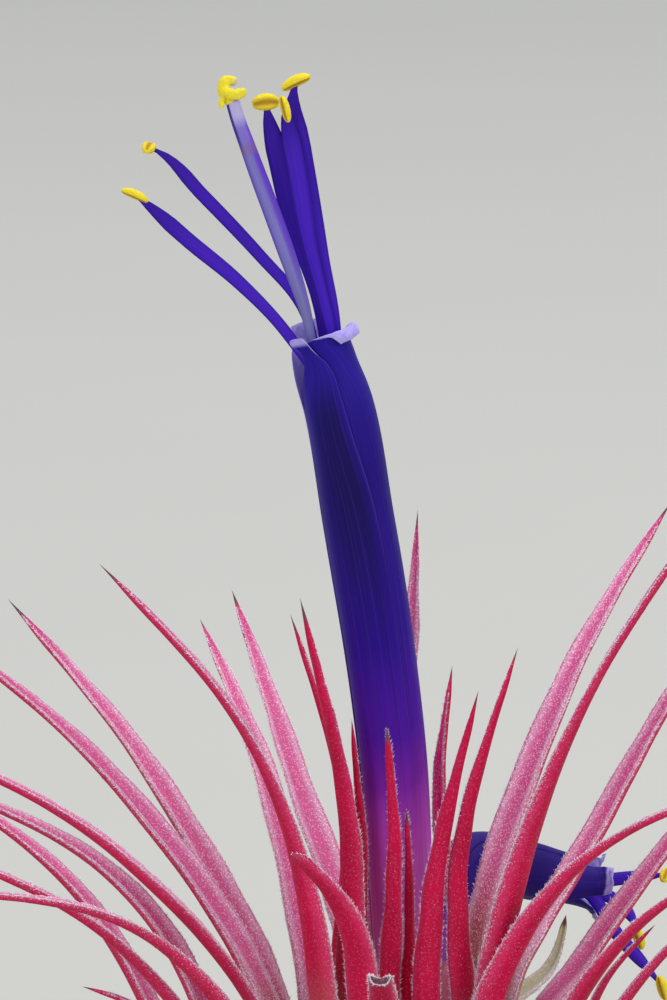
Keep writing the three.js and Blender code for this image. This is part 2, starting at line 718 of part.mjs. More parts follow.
// The filaments run up the tube in a ring and spread where they leave it. For each: the side of
// the ring in degrees, and the points that it passes outside the tube, to its tip.
const FILAMENT_RING_RADIUS = 0.76;
const FILAMENT_ROUTES = [
  {
    side: 186,
    points: [
      [-6.7, -0.7, 64.1], [-7.8, -0.85, 65.7], [-10.7, -1, 68.8], [-13.4, -1.2, 71.1],
      [-15.7, -1.5, 73.2],
    ],
  },
  {
    side: 155,
    points: [[-6.9, 0.3, 67.2], [-9.2, 0.5, 69.9], [-12.7, 0.8, 73.6], [-15.2, 0.95, 76.1]],
  },
  {
    side: 105,
    points: [[-5.7, 0.5, 66.6], [-7.4, 0.5, 72.4], [-8.2, 0.4, 76.1], [-8.8, 0.4, 78.55]],
  },
  {
    side: 350,
    points: [[-5.3, -0.2, 66.6], [-6.4, -0.4, 71.1], [-7, -0.4, 74.8], [-7.7, -0.35, 78.6]],
  },
  {
    side: 25,
    points: [[-4.8, 0.3, 66.2], [-5.65, 0.4, 70.4], [-6.8, 0.4, 76.1], [-7.25, 0.4, 79.75]],
  },
  {
    side: 62,
    points: [[-5.4, 0.7, 66.6], [-6.1, 1.1, 71.1], [-6.7, 1.3, 74.5], [-7.1, 1.5, 77]],
  },
];

function filamentPath(route) {
  const side = degrees(route.side);
  const inTube = [0.008, 0.15, 0.3, 0.45, 0.6, 0.75, 0.88, 0.93].map((share) => {
    const radius = FILAMENT_RING_RADIUS * (1 - 0.12 * smoothStep(0.8, 0.95, share));
    const offset = new THREE.Vector3(radius * Math.cos(side), radius * Math.sin(side), 0);
    return FLOWER_AXIS(share).add(offset).toArray();
  });
  return pathThrough([...inTube, ...route.points]);
}

function filamentsBody() {
  const ring = new THREE.LatheGeometry([
    new THREE.Vector2(0.55, FLOWER_FOOT),
    new THREE.Vector2(1, FLOWER_FOOT),
    new THREE.Vector2(1, FLOWER_FOOT + 0.7),
    new THREE.Vector2(0.55, FLOWER_FOOT + 0.7),
    new THREE.Vector2(0.55, FLOWER_FOOT),
  ], 18);
  ring.rotateX(Math.PI / 2);
  const pieces = [weld(ring)];
  for (const route of FILAMENT_ROUTES) {
    const path = filamentPath(route);
    const spread = (share) => smoothStep(0.8, 0.92, share);
    const taper = (share) => 1 - 0.65 * smoothStep(0.92, 1, share);
    const width = (share) => mix(0.5, FILAMENT_WIDTH, spread(share)) * taper(share);
    const thickness = (share) => mix(0.46, FILAMENT_THICKNESS, spread(share)) * taper(share);
    const last = new THREE.Vector3(...route.points.at(-1)).sub(new THREE.Vector3(...route.points[0]));
    const across = new THREE.Vector3(last.z, 0, -last.x).normalize();
    pieces.push(stalk(path, { width, thickness, hint: across, rows: 20, sides: 6 }));
  }
  return fused(pieces);
}

addPart('filaments', filamentsBody(), FILAMENT_VIOLET);

// An anther is an oblong body, by its middle, its direction and its length
function antherBody(middle, direction, length) {
  const along = new THREE.Vector3(...direction).normalize();
  const from = new THREE.Vector3(...middle).addScaledVector(along, -length / 2);
  const path = (share) => from.clone().addScaledVector(along, length * share);
  const swell = (share) => ANTHER_WIDTH * (0.45 + 0.55 * Math.sin(Math.PI * share) ** 0.6);
  const hint = Math.abs(along.y) > 0.9 ? TO_THE_RIGHT : new THREE.Vector3(0, 1, 0);
  return stalk(path, { width: swell, thickness: swell, hint, rows: 4, sides: 8 });
}

const ANTHERS = [
  { middle: [-16.65, -1.6, 74], direction: [-1.56, 0, 0.67], length: 1.7 },
  { middle: [-15.85, 1.1, 76.4], direction: [0.2, 1, 0.1], length: 1.5 },
  { middle: [-8.9, 0.4, 79.2], direction: [1, 0.2, 0.05], length: 1.6 },
  { middle: [-7.75, -1.1, 79.1], direction: [0.25, 0, -1], length: 1.6 },
  { middle: [-7.1, 0.4, 80.45], direction: [1.66, 0, 0.77], length: 1.85 },
  { middle: [-7.2, 1.6, 77.9], direction: [0.3, 1, 0.2], length: 1.5 },
];
ANTHERS.forEach(({ middle, direction, length }, index) => {
  addPart(`anther_${index + 1}`, antherBody(middle, direction, length), POLLEN_YELLOW);
});

// The style runs up the middle of the tube and leaves it in front of the filaments
const STYLE_TIP = [-10.78, -1, 79.24];
const STYLE_PATH = pathThrough([
  ...[0.004, 0.2, 0.4, 0.6, 0.8, 0.9].map((share) => FLOWER_AXIS(share).toArray()),
  [-6.1, -0.75, 64.7],
  [-6.5, -1.15, 66.7],
  [-7.45, -1.35, 69.8],
  [-8.66, -1.3, 73.23],
  [-9.82, -1.2, 76.4],
  STYLE_TIP,
]);
const styleWidth = (share) => mix(0.5, 1, smoothStep(0.76, 0.9, share));
const styleThickness = (share) => mix(0.5, 0.65, smoothStep(0.76, 0.9, share));
addPart('style', stalk(STYLE_PATH, {
  width: styleWidth,
  thickness: styleThickness,
  hint: TO_THE_RIGHT,
  rows: 22,
  sides: 8,
}), STYLE_LILAC);

// The stigma's three lobes curl out from one foot just past the style's tip
function stigmaBody() {
  const foot = new THREE.Vector3(...STYLE_TIP).add(new THREE.Vector3(-0.1, 0, 0.55));
  const lobes = [
    [[0, 0, 0], [-0.3, 0, 0.45], [-0.35, 0, 0.85], [0, -0.15, 1.1]],
    [[0, 0, 0], [0.3, 0.1, 0.4], [0.65, 0.2, 0.6], [0.8, 0.3, 0.25]],
    [[0, 0, 0], [-0.3, -0.25, 0.35], [-0.6, -0.4, 0.25], [-0.7, -0.45, -0.3]],
  ];
  return fused(lobes.map((lobe) => stalk(
    pathThrough(lobe.map((point) => new THREE.Vector3(...point).add(foot).toArray())),
    {
      width: (share) => mix(0.5, 0.62, Math.sin(Math.PI * share)),
      thickness: () => 0.5,
      hint: new THREE.Vector3(0.2, 1, 0.1),
      rows: 6,
      sides: 6,
    },
  )));
}

addPart('stigma', stigmaBody(), POLLEN_YELLOW);

// The old flower rises behind the open one and has bent over to the right, with three of its
// filaments hanging out of its mouth
const OLD_FLOWER_PATH = pathThrough([
  [0.6, 3.5, 16.2],
  [0.9, 4.4, 20],
  [1.3, 5.5, 24],
  [2, 7.6, 27.9],
  [3.6, 10.4, 29.6],
  [6.9, 12.7, 28.7],
  [9.6, 13.6, 27.8],
  [12.2, 14, 27.2],
]);
const OLD_FLOWER_RADIUS = [
  [0, 0.7], [0.25, 0.95], [0.45, 1.4], [0.6, 1.8], [0.8, 1.9], [0.93, 1.7], [1, 1.2],
];
const OLD_FILAMENT_ROUTES = [
  [[11.4, 14, 27.5], [13.4, 14.1, 27.7], [15.4, 14, 27.9]],
  [[11.4, 14.1, 27], [13.2, 14.5, 26], [14.1, 14.6, 24.9]],
  [[11.2, 13.7, 26.9], [13, 13.2, 24.4], [15.3, 12.3, 21.9]],
];

function oldFlowerBody() {
  const hint = new THREE.Vector3(0.5, -0.3, 0.8);
  const width = (share) => 2 * readOff(OLD_FLOWER_RADIUS, share);
  const tube = stalk(OLD_FLOWER_PATH, { width, thickness: width, hint, rows: 14, sides: 10 });
  const filaments = OLD_FILAMENT_ROUTES.map((points) => stalk(pathThrough(points), {
    width: () => 0.9,
    thickness: () => 0.6,
    hint: new THREE.Vector3(0, 0, 1),
    rows: 5,
    sides: 6,
  }));
  return fused([tube, ...filaments]);
}

addPart('old_flower', oldFlowerBody(), PETAL_VIOLET);

const OLD_ANTHERS = [
  { middle: [16.2, 14, 28], direction: [0.3, 0.9, 0.2], length: 1.6 },
  { middle: [14.5, 14.7, 23.7], direction: [0.3, 0.1, -1], length: 1.6 },
  { middle: [15.9, 12, 21.2], direction: [0.3, 0.1, -1], length: 1.7 },
];
OLD_ANTHERS.forEach(({ middle, direction, length }, index) => {
  addPart(`old_anther_${index + 1}`, antherBody(middle, direction, length), POLLEN_YELLOW);
});

export default plant;
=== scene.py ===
import math

import bmesh
import bpy
import numpy as np
from mathutils import Matrix


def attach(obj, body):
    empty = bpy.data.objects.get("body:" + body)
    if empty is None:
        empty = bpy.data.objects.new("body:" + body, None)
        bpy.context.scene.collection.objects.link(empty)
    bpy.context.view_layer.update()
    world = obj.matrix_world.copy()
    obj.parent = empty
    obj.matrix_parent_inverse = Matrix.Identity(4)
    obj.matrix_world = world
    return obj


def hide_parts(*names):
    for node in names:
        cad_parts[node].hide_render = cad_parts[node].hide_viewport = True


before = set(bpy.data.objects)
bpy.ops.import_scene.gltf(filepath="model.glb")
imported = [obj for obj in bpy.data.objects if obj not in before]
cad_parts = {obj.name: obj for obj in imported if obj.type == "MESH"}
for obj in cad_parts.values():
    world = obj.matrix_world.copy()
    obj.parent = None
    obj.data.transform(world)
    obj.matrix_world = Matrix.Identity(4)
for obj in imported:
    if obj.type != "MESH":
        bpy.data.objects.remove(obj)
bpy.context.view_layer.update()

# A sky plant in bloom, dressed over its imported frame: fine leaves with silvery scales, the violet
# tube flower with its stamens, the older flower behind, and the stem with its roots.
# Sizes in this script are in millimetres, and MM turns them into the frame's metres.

MM = 0.001

# The camera looks along +Y and down by this elevation
CAMERA_TARGET = np.array([-4.89, 0, 55.2])
CAMERA_DISTANCE = 350
CAMERA_ELEVATION = math.radians(12)
CAMERA_LENS = 210

RIBBON_SIDES = 14


# Numbers and curves

def smooth_step(low, high, value):
    share = np.clip((np.asarray(value) - low) / (high - low), 0, 1)
    return share * share * (3 - 2 * share)


def unit(vectors):
    return vectors / np.maximum(np.linalg.norm(vectors, axis=-1, keepdims=True), 1e-12)


def spline(knots, values, places):
    """A smooth curve that takes the values at the knots, read at the places."""
    slopes = np.gradient(values, knots, axis=0)
    place = np.clip(np.searchsorted(knots, places, side="right") - 1, 0, len(knots) - 2)
    gap = knots[place + 1] - knots[place]
    share = (places - knots[place]) / gap
    shape = (-1,) + (1,) * (values.ndim - 1)
    share, gap = share.reshape(shape), gap.reshape(shape)
    return (
        (2 * share**3 - 3 * share**2 + 1) * values[place]
        + (share**3 - 2 * share**2 + share) * gap * slopes[place]
        + (3 * share**2 - 2 * share**3) * values[place + 1]
        + (share**3 - share**2) * gap * slopes[place + 1]
    )


def lengths_along(points):
    steps = np.linalg.norm(np.diff(points, axis=0), axis=1)
    return np.concatenate([[0], np.cumsum(steps)])


def path_through(points):
    """A smooth path, as a function of the share of its length."""
    points = np.array(points, float)
    knots = lengths_along(points)
    return lambda share: spline(knots, points, np.asarray(share, float) * knots[-1])


def frames_along(path, shares, hint):
    """Directions along the path, across it near the hint, and inward, at each share."""
    along = unit(path(np.minimum(shares + 0.004, 1)) - path(np.maximum(shares - 0.004, 0)))
    hint = np.asarray(hint, float)
    across = unit(hint - along * (along @ hint)[:, None])
    return along, across, np.cross(along, across)


# Shapes: a shape is a dict of points, faces as arrays, marks for the material and a material

def grid_faces(rows, sides, closed):
    """Quads between the rows of a grid, whose sides may close into a ring."""
    row, side = np.meshgrid(np.arange(rows - 1), np.arange(sides if closed else sides - 1), indexing="ij")
    following = (side + 1) % sides
    first, second = row * sides, (row + 1) * sides
    quads = np.stack([first + side, first + following, second + following, second + side], -1)
    return quads.reshape(-1, 4)


def ring_solid(rings, marks, material):
    """One closed solid from rings, with a fan over each end."""
    rows, sides = rings.shape[:2]
    points = rings.reshape(-1, 3)
    ends = rings[[0, -1]].mean(1)
    marks = np.concatenate([marks.reshape(rows * sides, -1), marks[[0, -1]].mean(1)])
    side = np.arange(sides)
    following = (side + 1) % sides
    last = (rows - 1) * sides
    foot, top = rows * sides, rows * sides + 1
    fans = np.concatenate([
        np.stack([following, side, np.full(sides, foot)], -1),
        np.stack([last + side, last + following, np.full(sides, top)], -1),
    ])
    return {
        "points": np.concatenate([points, ends]),
        "faces": [grid_faces(rows, sides, True), fans],
        "marks": marks,
        "material": material,
    }


def grid_normals(grid):
    rows = np.gradient(grid, axis=0)
    columns = np.gradient(grid, axis=1)
    return unit(np.cross(columns, rows))


def shell_solid(middle, half, marks, material):
    """One closed solid as thick as 2 half to both sides of a grid of points. Its third mark is 0
    on the outer face and 1 on the inner one."""
    normals = grid_normals(middle)
    outer = middle + normals * half[..., None]
    inner = middle - normals * half[..., None]
    rings = np.concatenate([outer, inner[:, ::-1]], 1)
    inner_marks = marks[:, ::-1].copy()
    inner_marks[..., 2] = 1
    ring_marks = np.concatenate([marks, inner_marks], 1)
    rows, sides = rings.shape[:2]
    columns = middle.shape[1]
    left = np.arange(columns - 1)
    caps = np.stack([left + 1, left, sides - 1 - left, sides - 2 - left], -1)
    last = (rows - 1) * sides
    return {
        "points": rings.reshape(-1, 3),
        "faces": [grid_faces(rows, sides, True), caps, caps[:, ::-1] + last],
        "marks": ring_marks.reshape(-1, 3),
        "material": material,
    }


def placed(data):
    """A new object in the scene, with the data's name."""
    thing = bpy.data.objects.new(data.name, data)
    bpy.context.scene.collection.objects.link(thing)
    return thing


def hand_over(piece, node):
    """The piece stands for the node, in its slot."""
    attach(piece, "root")
    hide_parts(node)


def make_piece(node, shapes):
    """One piece of several shapes, which stands for the node."""
    materials = []
    points, marks, loops, sizes, indices = [], [], [], [], []
    start = 0
    for shape in shapes:
        if shape["material"] not in materials:
            materials.append(shape["material"])
        index = materials.index(shape["material"])
        for faces in shape["faces"]:
            loops.append((faces + start).ravel())
            sizes.append(np.full(len(faces), faces.shape[1]))
            indices.append(np.full(len(faces), index))
        points.append(shape["points"])
        spare = 4 - shape["marks"].shape[1]
        marks.append(np.pad(shape["marks"], ((0, 0), (0, spare)), constant_values=1))
        start += len(shape["points"])
    points = np.concatenate(points) * MM
    loops, sizes = np.concatenate(loops), np.concatenate(sizes)
    mesh = bpy.data.meshes.new(node + "_dressed")
    mesh.vertices.add(len(points))
    mesh.vertices.foreach_set("co", points.ravel())
    mesh.loops.add(len(loops))
    mesh.loops.foreach_set("vertex_index", loops)
    mesh.polygons.add(len(sizes))
    mesh.polygons.foreach_set("loop_start", np.concatenate([[0], np.cumsum(sizes)[:-1]]))
    mesh.polygons.foreach_set("loop_total", sizes)
    mesh.polygons.foreach_set("material_index", np.concatenate(indices))
    mesh.polygons.foreach_set("use_smooth", np.ones(len(sizes), bool))
    attribute = mesh.color_attributes.new("marks", "FLOAT_COLOR", "POINT")
    attribute.data.foreach_set("color", np.concatenate(marks).ravel())
    mesh.update(calc_edges=True)
    mesh.validate()
    for material in materials:
        mesh.materials.append(material)
    hand_over(placed(mesh), node)


def angles_round(sides):
    return 2 * math.pi * np.arange(sides) / sides


def rings_round(middles, across, inward, out, lift):
    """Rings of points: by ring and point, how far out across the middle's way and how far inward."""
    return middles[:, None] + across[:, None] * out[..., None] + inward[:, None] * lift[..., None]


def ribbon(path, hint, width, thickness, material, rows, keel):
    """A stalk with an oval section, folded by the keel along its middle."""
    shares = np.linspace(0, 1, rows)
    _, across, inward = frames_along(path, shares, hint)
    angles = angles_round(RIBBON_SIDES)
    side, face = np.cos(angles), np.sin(angles)
    half_width, half_thickness = width(shares) / 2, thickness(shares) / 2
    out = np.outer(half_width, side)
    lift = np.outer(half_thickness, face) + keel * np.outer(half_width, 1 - side**2)
    rings = rings_round(path(shares), across, inward, out, lift)
    marks = np.zeros(rings.shape)
    marks[..., 0] = shares[:, None]
    marks[..., 1] = (side + 1) / 2
    return ring_solid(rings, marks, material)


# Materials

def srgb(red, green, blue):
    """A colour from 0 to 255 as a renderer takes it."""
    def linear(value):
        value /= 255
        return value / 12.92 if value <= 0.04045 else ((value + 0.055) / 1.055) ** 2.4
    return (linear(red), linear(green), linear(blue), 1)


class Paint:
    """A material and the nodes that it is made of."""

    def __init__(self, name, **values):
        self.material = bpy.data.materials.new(name)
        self.material.use_nodes = True
        self.tree = self.material.node_tree
        self.surface = self.tree.nodes["Principled BSDF"]
        for key, value in values.items():
            name_of_input = key.replace("_", " ").title().replace("Ior", "IOR")
            self.surface.inputs[name_of_input].default_value = value

    def node(self, kind, inputs=(), **settings):
        node = self.tree.nodes.new("ShaderNode" + kind)
        for key, value in settings.items():
            setattr(node, key, value)
        for key, value in dict(inputs).items():
            if isinstance(value, bpy.types.NodeSocket):
                self.tree.links.new(value, node.inputs[key])
            else:
                node.inputs[key].default_value = value
        return node

    def marks(self):
        """The marks of the mesh, as sockets."""
        marks = self.node("Attribute", attribute_name="marks")
        parts = self.node("SeparateColor", {0: marks.outputs["Color"]})
        return parts.outputs[0], parts.outputs[1], parts.outputs[2], marks.outputs["Alpha"]

    def place(self):
        return self.node("TexCoord").outputs["Object"]

    def maths(self, operation, one, other=0.0):
        return self.node("Math", {0: one, 1: other}, operation=operation).outputs[0]

    def span(self, value, low, high, out_low=0.0, out_high=1.0):
        """The value's way from low to high, as a share between two others."""
        inputs = {0: value, 1: low, 2: high, 3: out_low, 4: out_high}
        return self.node("MapRange", inputs, interpolation_type="SMOOTHSTEP").outputs[0]

    def ramp(self, value, stops):
        node = self.node("ValToRGB", {0: value})
        ramp = node.color_ramp
        while len(ramp.elements) < len(stops):
            ramp.elements.new(0.5)
        for element, (place, colour) in zip(ramp.elements, stops):
            element.position = place
            element.color = colour
        return node.outputs[0]

    def mix(self, share, one, other):
        node = self.node("Mix", {0: share, 6: one, 7: other}, data_type="RGBA")
        return node.outputs[2]

    def noise(self, vector, grain, detail=2.0):
        """Soft noise whose blotches are about that many millimetres wide."""
        inputs = {"Vector": vector, "Scale": 1 / (grain * MM), "Detail": detail}
        return self.node("TexNoise", inputs).outputs[0]

    def streaks(self, across, along, count, runs):
        """Fine lines that run along a petal or leaf."""
        vector = self.node("CombineXYZ", {0: self.maths("MULTIPLY", across, count),
                                          1: self.maths("MULTIPLY", along, runs)}).outputs[0]
        return self.node("TexNoise", {"Vector": vector, "Scale": 1.0, "Detail": 3.0}).outputs[0]

    def specks(self, vector, grain, reach):
        """Round specks that far apart, with that radius as a share of the spacing."""
        inputs = {"Vector": vector, "Scale": 1 / (grain * MM)}
        distance = self.node("TexVoronoi", inputs).outputs["Distance"]
        return self.span(distance, reach, reach * 0.5)

    def finish(self, colour, height=None, depth=0.02):
        self.tree.links.new(colour, self.surface.inputs["Base Color"])
        if height is not None:
            bump = self.node("Bump", {"Height": height, "Distance": depth * MM})
            self.tree.links.new(bump.outputs[0], self.surface.inputs["Normal"])
        return self.material


def leaf_paint():
    """Marks: the way from foot to tip, the inner face, how far the leaf has turned red, and the
    way from its middle line to an edge. Above 1, the third mark paints the inner face hot pink:
    painted light, as if light came through the leaf."""
    paint = Paint("leaf_skin", roughness=0.55, specular_ior_level=0.12)
    along, inner, blush_and_glow, edge = paint.marks()
    place = paint.place()
    blotch = paint.noise(place, 3.0)
    red = paint.mix(blotch, srgb(204, 8, 70), srgb(164, 8, 52))
    red = paint.mix(paint.span(edge, 0.1, 1.0, 0.0, 0.5), red, srgb(210, 68, 118))
    rosy = paint.mix(blotch, srgb(206, 60, 132), srgb(200, 84, 142))
    # Painted light: a hot pink inner face on the middle leaves, as if light came through them
    rosy = paint.mix(paint.span(blush_and_glow, 1.05, 1.25), rosy, srgb(255, 36, 124))
    red = paint.mix(paint.maths("MULTIPLY", inner, 0.85), red, rosy)
    green = paint.mix(blotch, srgb(150, 162, 112), srgb(188, 188, 146))
    turned = paint.span(paint.maths("ADD", blush_and_glow, paint.maths("MULTIPLY", along, 0.5)), 0.55, 1.0)
    body = paint.mix(turned, green, red)
    # Darker and browner towards the foot: partly the leaf's own brown base, partly painted shade low in the
    # rosette
    brown_base_and_shade = paint.mix(blotch, srgb(166, 66, 70), srgb(176, 96, 94))
    body = paint.mix(paint.span(along, 0.42, 0.28), body, brown_base_and_shade)
    silver = paint.mix(blotch, srgb(200, 196, 162), srgb(220, 212, 190))
    body = paint.mix(paint.span(along, 0.32, 0.14), body, silver)
    fine = paint.specks(place, 0.16, 0.42)
    coverage = paint.maths("MAXIMUM", paint.span(edge, 0.6, 1.0, 0.15, 1.0), inner)
    frost = paint.maths("MULTIPLY", fine, coverage)
    body = paint.mix(paint.maths("MULTIPLY", frost, 0.5), body, srgb(228, 178, 210))
    lining = paint.maths("MULTIPLY", inner, paint.span(edge, 0.2, 0.8, 0.12, 1.0))
    margin = paint.maths("MAXIMUM", paint.span(edge, 0.84, 1.0), lining)
    margin = paint.maths("MULTIPLY", margin, paint.span(fine, 0.0, 1.0, 0.35, 0.9))
    margin = paint.maths("MULTIPLY", margin, paint.span(along, 0.93, 0.86))
    body = paint.mix(margin, body, srgb(236, 216, 234))
    withered = paint.mix(blotch, srgb(108, 52, 34), srgb(104, 76, 96))
    body = paint.mix(paint.span(along, 0.945, 0.97), body, withered)
    return paint.finish(body, paint.noise(place, 0.12), 0.02)


def scale_paint():
    """The third mark is how white a scale is."""
    paint = Paint("silver_scales", roughness=0.6, specular_ior_level=0.4)
    _, _, white, _ = paint.marks()
    pink = paint.mix(paint.noise(paint.place(), 0.5), srgb(220, 72, 130), srgb(226, 130, 178))
    return paint.finish(paint.mix(white, pink, srgb(248, 240, 250)))


def petal_paint(name, tip_start, painted_core_shade=0.0, painted_edge_light=0.0, age=0.0):
    """Marks: the way from foot to tip, the way from edge to edge, and the inner face. A painted shade
    darkens a petal towards its second edge, for the dark front of the tube; a painted light makes
    that edge paler, where the gap behind it lies in shade; and age darkens all of it. The pale tip
    starts at its share of the way up."""
    paint = Paint(name, roughness=0.5, specular_ior_level=0.08)
    along, across, inner, _ = paint.marks()
    lines = paint.streaks(across, along, 46.0, 2.5)
    bands = paint.streaks(across, along, 9.0, 1.2)
    colour = paint.ramp(along, [
        (0.0, srgb(216, 200, 206)),
        (0.1, srgb(214, 164, 204)),
        (0.22, srgb(214, 122, 206)),
        (0.3, srgb(204, 98, 204)),
        (0.36, srgb(182, 74, 192)),
        (0.42, srgb(120, 36, 162)),
        (0.48, srgb(76, 18, 150)),
        (0.6, srgb(40, 10, 130)),
        (0.8, srgb(32, 12, 116)),
        (0.95, srgb(38, 22, 142)),
    ])
    deep = paint.mix(0.5, colour, srgb(16, 6, 76))
    colour = paint.mix(paint.span(bands, 0.35, 0.6, 0.4, 0.0), colour, deep)
    # Painted shade: the dark middle of the tube's front, towards the petal's second edge
    shade = paint.maths("MULTIPLY", paint.span(across, 0.3, 0.7), paint.span(across, 1.0, 0.86))
    shade = paint.maths("MULTIPLY", shade, paint.span(along, 0.55, 0.8))
    shade = paint.maths("MULTIPLY", shade, paint.span(along, 0.96, 0.88))
    colour = paint.mix(paint.maths("MULTIPLY", shade, painted_core_shade), colour, srgb(18, 12, 66))
    lighter = paint.mix(0.3, colour, srgb(104, 66, 196))
    colour = paint.mix(paint.span(lines, 0.45, 0.75, 0.0, 0.35), colour, lighter)
    # Painted light: pales the second edge, where the gap behind it lies in shade
    thin = paint.maths("MULTIPLY", paint.span(across, 0.84, 0.95), paint.span(along, 0.8, 0.9))
    colour = paint.mix(paint.maths("MULTIPLY", thin, painted_edge_light), colour, srgb(150, 124, 226))
    colour = paint.mix(age, colour, srgb(44, 22, 92))
    lining = paint.ramp(along, [
        (0.0, srgb(214, 200, 206)),
        (0.5, srgb(96, 60, 160)),
        (0.8, srgb(130, 98, 224)),
        (0.95, srgb(180, 164, 248)),
    ])
    colour = paint.mix(inner, colour, lining)
    tip = paint.span(along, tip_start, tip_start + 0.008)
    colour = paint.mix(tip, colour, paint.mix(lines, srgb(140, 124, 214), srgb(196, 186, 240)))
    side = paint.maths("ABSOLUTE", paint.maths("SUBTRACT", across, 0.5))
    rim = paint.maths("MULTIPLY", paint.span(side, 0.474, 0.49), paint.span(along, 0.68, 0.8))
    pale = paint.mix(paint.span(along, 0.97, 0.984), srgb(66, 50, 146), srgb(206, 198, 244))
    colour = paint.mix(paint.maths("MULTIPLY", rim, 0.5), colour, pale)
    return paint.finish(colour, lines, 0.03)


def stalk_paint(name, middle, edge, tip):
    """Marks: the way from foot to tip and from edge to edge."""
    paint = Paint(name, roughness=0.5, specular_ior_level=0.1)
    along, across, _, _ = paint.marks()
    lines = paint.streaks(across, along, 9.0, 5.0)
    colour = paint.ramp(across, [(0.0, edge), (0.22, middle), (0.8, middle), (1.0, edge)])
    colour = paint.mix(paint.span(lines, 0.4, 0.7, 0.0, 0.25), colour, edge)
    colour = paint.mix(paint.span(along, 0.9, 1.0, 0.0, 0.6), colour, tip)
    return paint.finish(colour, lines, 0.02)


def style_paint():
    paint = Paint("style_skin", roughness=0.5, specular_ior_level=0.15)
    along, across, _, _ = paint.marks()
    lines = paint.streaks(across, along, 8.0, 6.0)
    upper = paint.ramp(across, [
        (0.0, srgb(40, 20, 130)),
        (0.14, srgb(52, 28, 140)),
        (0.24, srgb(124, 112, 190)),
        (0.7, srgb(132, 112, 204)),
        (1.0, srgb(84, 54, 172)),
    ])
    lower = paint.ramp(across, [
        (0.0, srgb(84, 60, 178)),
        (0.2, srgb(118, 112, 186)),
        (0.55, srgb(126, 120, 188)),
        (0.75, srgb(96, 62, 186)),
        (1.0, srgb(84, 46, 180)),
    ])
    colour = paint.mix(paint.span(along, 0.94, 0.965), lower, upper)
    colour = paint.mix(paint.span(lines, 0.42, 0.7, 0.0, 0.4), colour, srgb(104, 84, 172))
    low = paint.span(along, 0.87, 0.78)
    colour = paint.mix(paint.maths("MULTIPLY", low, 0.7), colour, srgb(112, 112, 158))
    body = paint.span(across, 0.14, 0.24)
    top = paint.maths("MULTIPLY", body, paint.span(along, 0.968, 0.984))
    colour = paint.mix(paint.maths("MULTIPLY", top, 0.6), colour, srgb(204, 198, 226))
    smudge = paint.maths("MULTIPLY", paint.span(along, 0.941, 0.947), paint.span(along, 0.957, 0.951))
    colour = paint.mix(paint.maths("MULTIPLY", smudge, 0.35), colour, srgb(132, 92, 100))
    return paint.finish(colour, lines, 0.02)


def pollen_paint(name, bright, dark):
    """The third mark is the depth of the groove."""
    paint = Paint(name, roughness=0.85, specular_ior_level=0.3)
    _, _, groove, _ = paint.marks()
    place = paint.place()
    grain = paint.specks(place, 0.07, 0.5)
    colour = paint.mix(paint.noise(place, 0.4), bright, srgb(248, 228, 60))
    colour = paint.mix(paint.maths("MULTIPLY", groove, 0.85), colour, dark)
    colour = paint.mix(paint.maths("MULTIPLY", grain, 0.2), colour, srgb(248, 236, 120))
    return paint.finish(colour, grain, 0.02)


def bark_paint():
    paint = Paint("stem_bark", roughness=0.8)
    place = paint.place()
    colour = paint.mix(paint.noise(place, 0.9, 4.0), srgb(74, 52, 36), srgb(138, 112, 82))
    return paint.finish(colour, paint.noise(place, 0.25, 4.0), 0.12)


def sepal_paint():
    paint = Paint("sepal_skin", roughness=0.5, specular_ior_level=0.3)
    place = paint.place()
    colour = paint.mix(paint.noise(place, 1.5), srgb(166, 90, 104), srgb(158, 56, 92))
    return paint.finish(colour, paint.noise(place, 0.2), 0.03)


LEAF = leaf_paint()
SCALES = scale_paint()
PETAL = {
    # petal_1 gets painted shade towards its second edge, and petal_3 painted light along its second edge
    "petal_1": petal_paint("petal_1_skin", 0.987, painted_core_shade=0.75),
    "petal_2": petal_paint("petal_2_skin", 0.975),
    "petal_3": petal_paint("petal_3_skin", 0.976, painted_edge_light=1.0),
}
OLD_PETAL = petal_paint("old_petal_skin", 0.976, age=0.45)
FILAMENT = stalk_paint("filament_skin", srgb(70, 32, 184), srgb(44, 14, 138), srgb(40, 12, 120))
STYLE = style_paint()
POLLEN = pollen_paint("anther_pollen", srgb(238, 208, 16), srgb(160, 104, 8))
STIGMA = pollen_paint("stigma_skin", srgb(240, 224, 40), srgb(206, 200, 176))
BARK = bark_paint()
SEPAL = sepal_paint()


# The solids of the frame

def welded(node):
    """A node's solid, with the points that its faces share merged."""
    solid = bmesh.new()
    solid.from_mesh(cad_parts[node].data)
    bmesh.ops.remove_doubles(solid, verts=solid.verts, dist=0.003 * MM)
    return solid


def levels_from(start):
    """The solid's points by how many edges they are from the start."""
    seen = {start}
    levels = [[start]]
    while levels[-1]:
        following = []
        for vert in levels[-1]:
            for edge in vert.link_edges:
                other = edge.other_vert(vert)
                if other not in seen:
                    seen.add(other)
                    following.append(other)
        levels.append(following)
    return levels[:-1]


def ring_in_order(level, before):
    """A level's points in order round the leaf. Two neighbours share a face with one point of the
    level before."""
    beside = {vert: [] for vert in level}
    for vert in level:
        for face in vert.link_faces:
            others = [other for other in face.verts if other is not vert]
            for other, third in (others, others[::-1]):
                if other in beside and third in before:
                    beside[vert].append(other)
    order = [level[0]]
    while len(order) < len(level):
        order.append(next(other for other in beside[order[-1]] if other not in order))
    return np.array([vert.co for vert in order]) / MM


def turned_to(ring, other):
    """The ring with its points in the order that fits the other ring best."""
    def shape(points):
        centred = points - points.mean(0)
        return centred / np.linalg.norm(centred)
    ways = [np.roll(way, turn, 0) for way in (ring, ring[::-1]) for turn in range(len(ring))]
    return min(ways, key=lambda way: np.linalg.norm(shape(way) - shape(other)))


NECK_RING = 4                     # the ring where a blade leaves its sheath, and is near upright


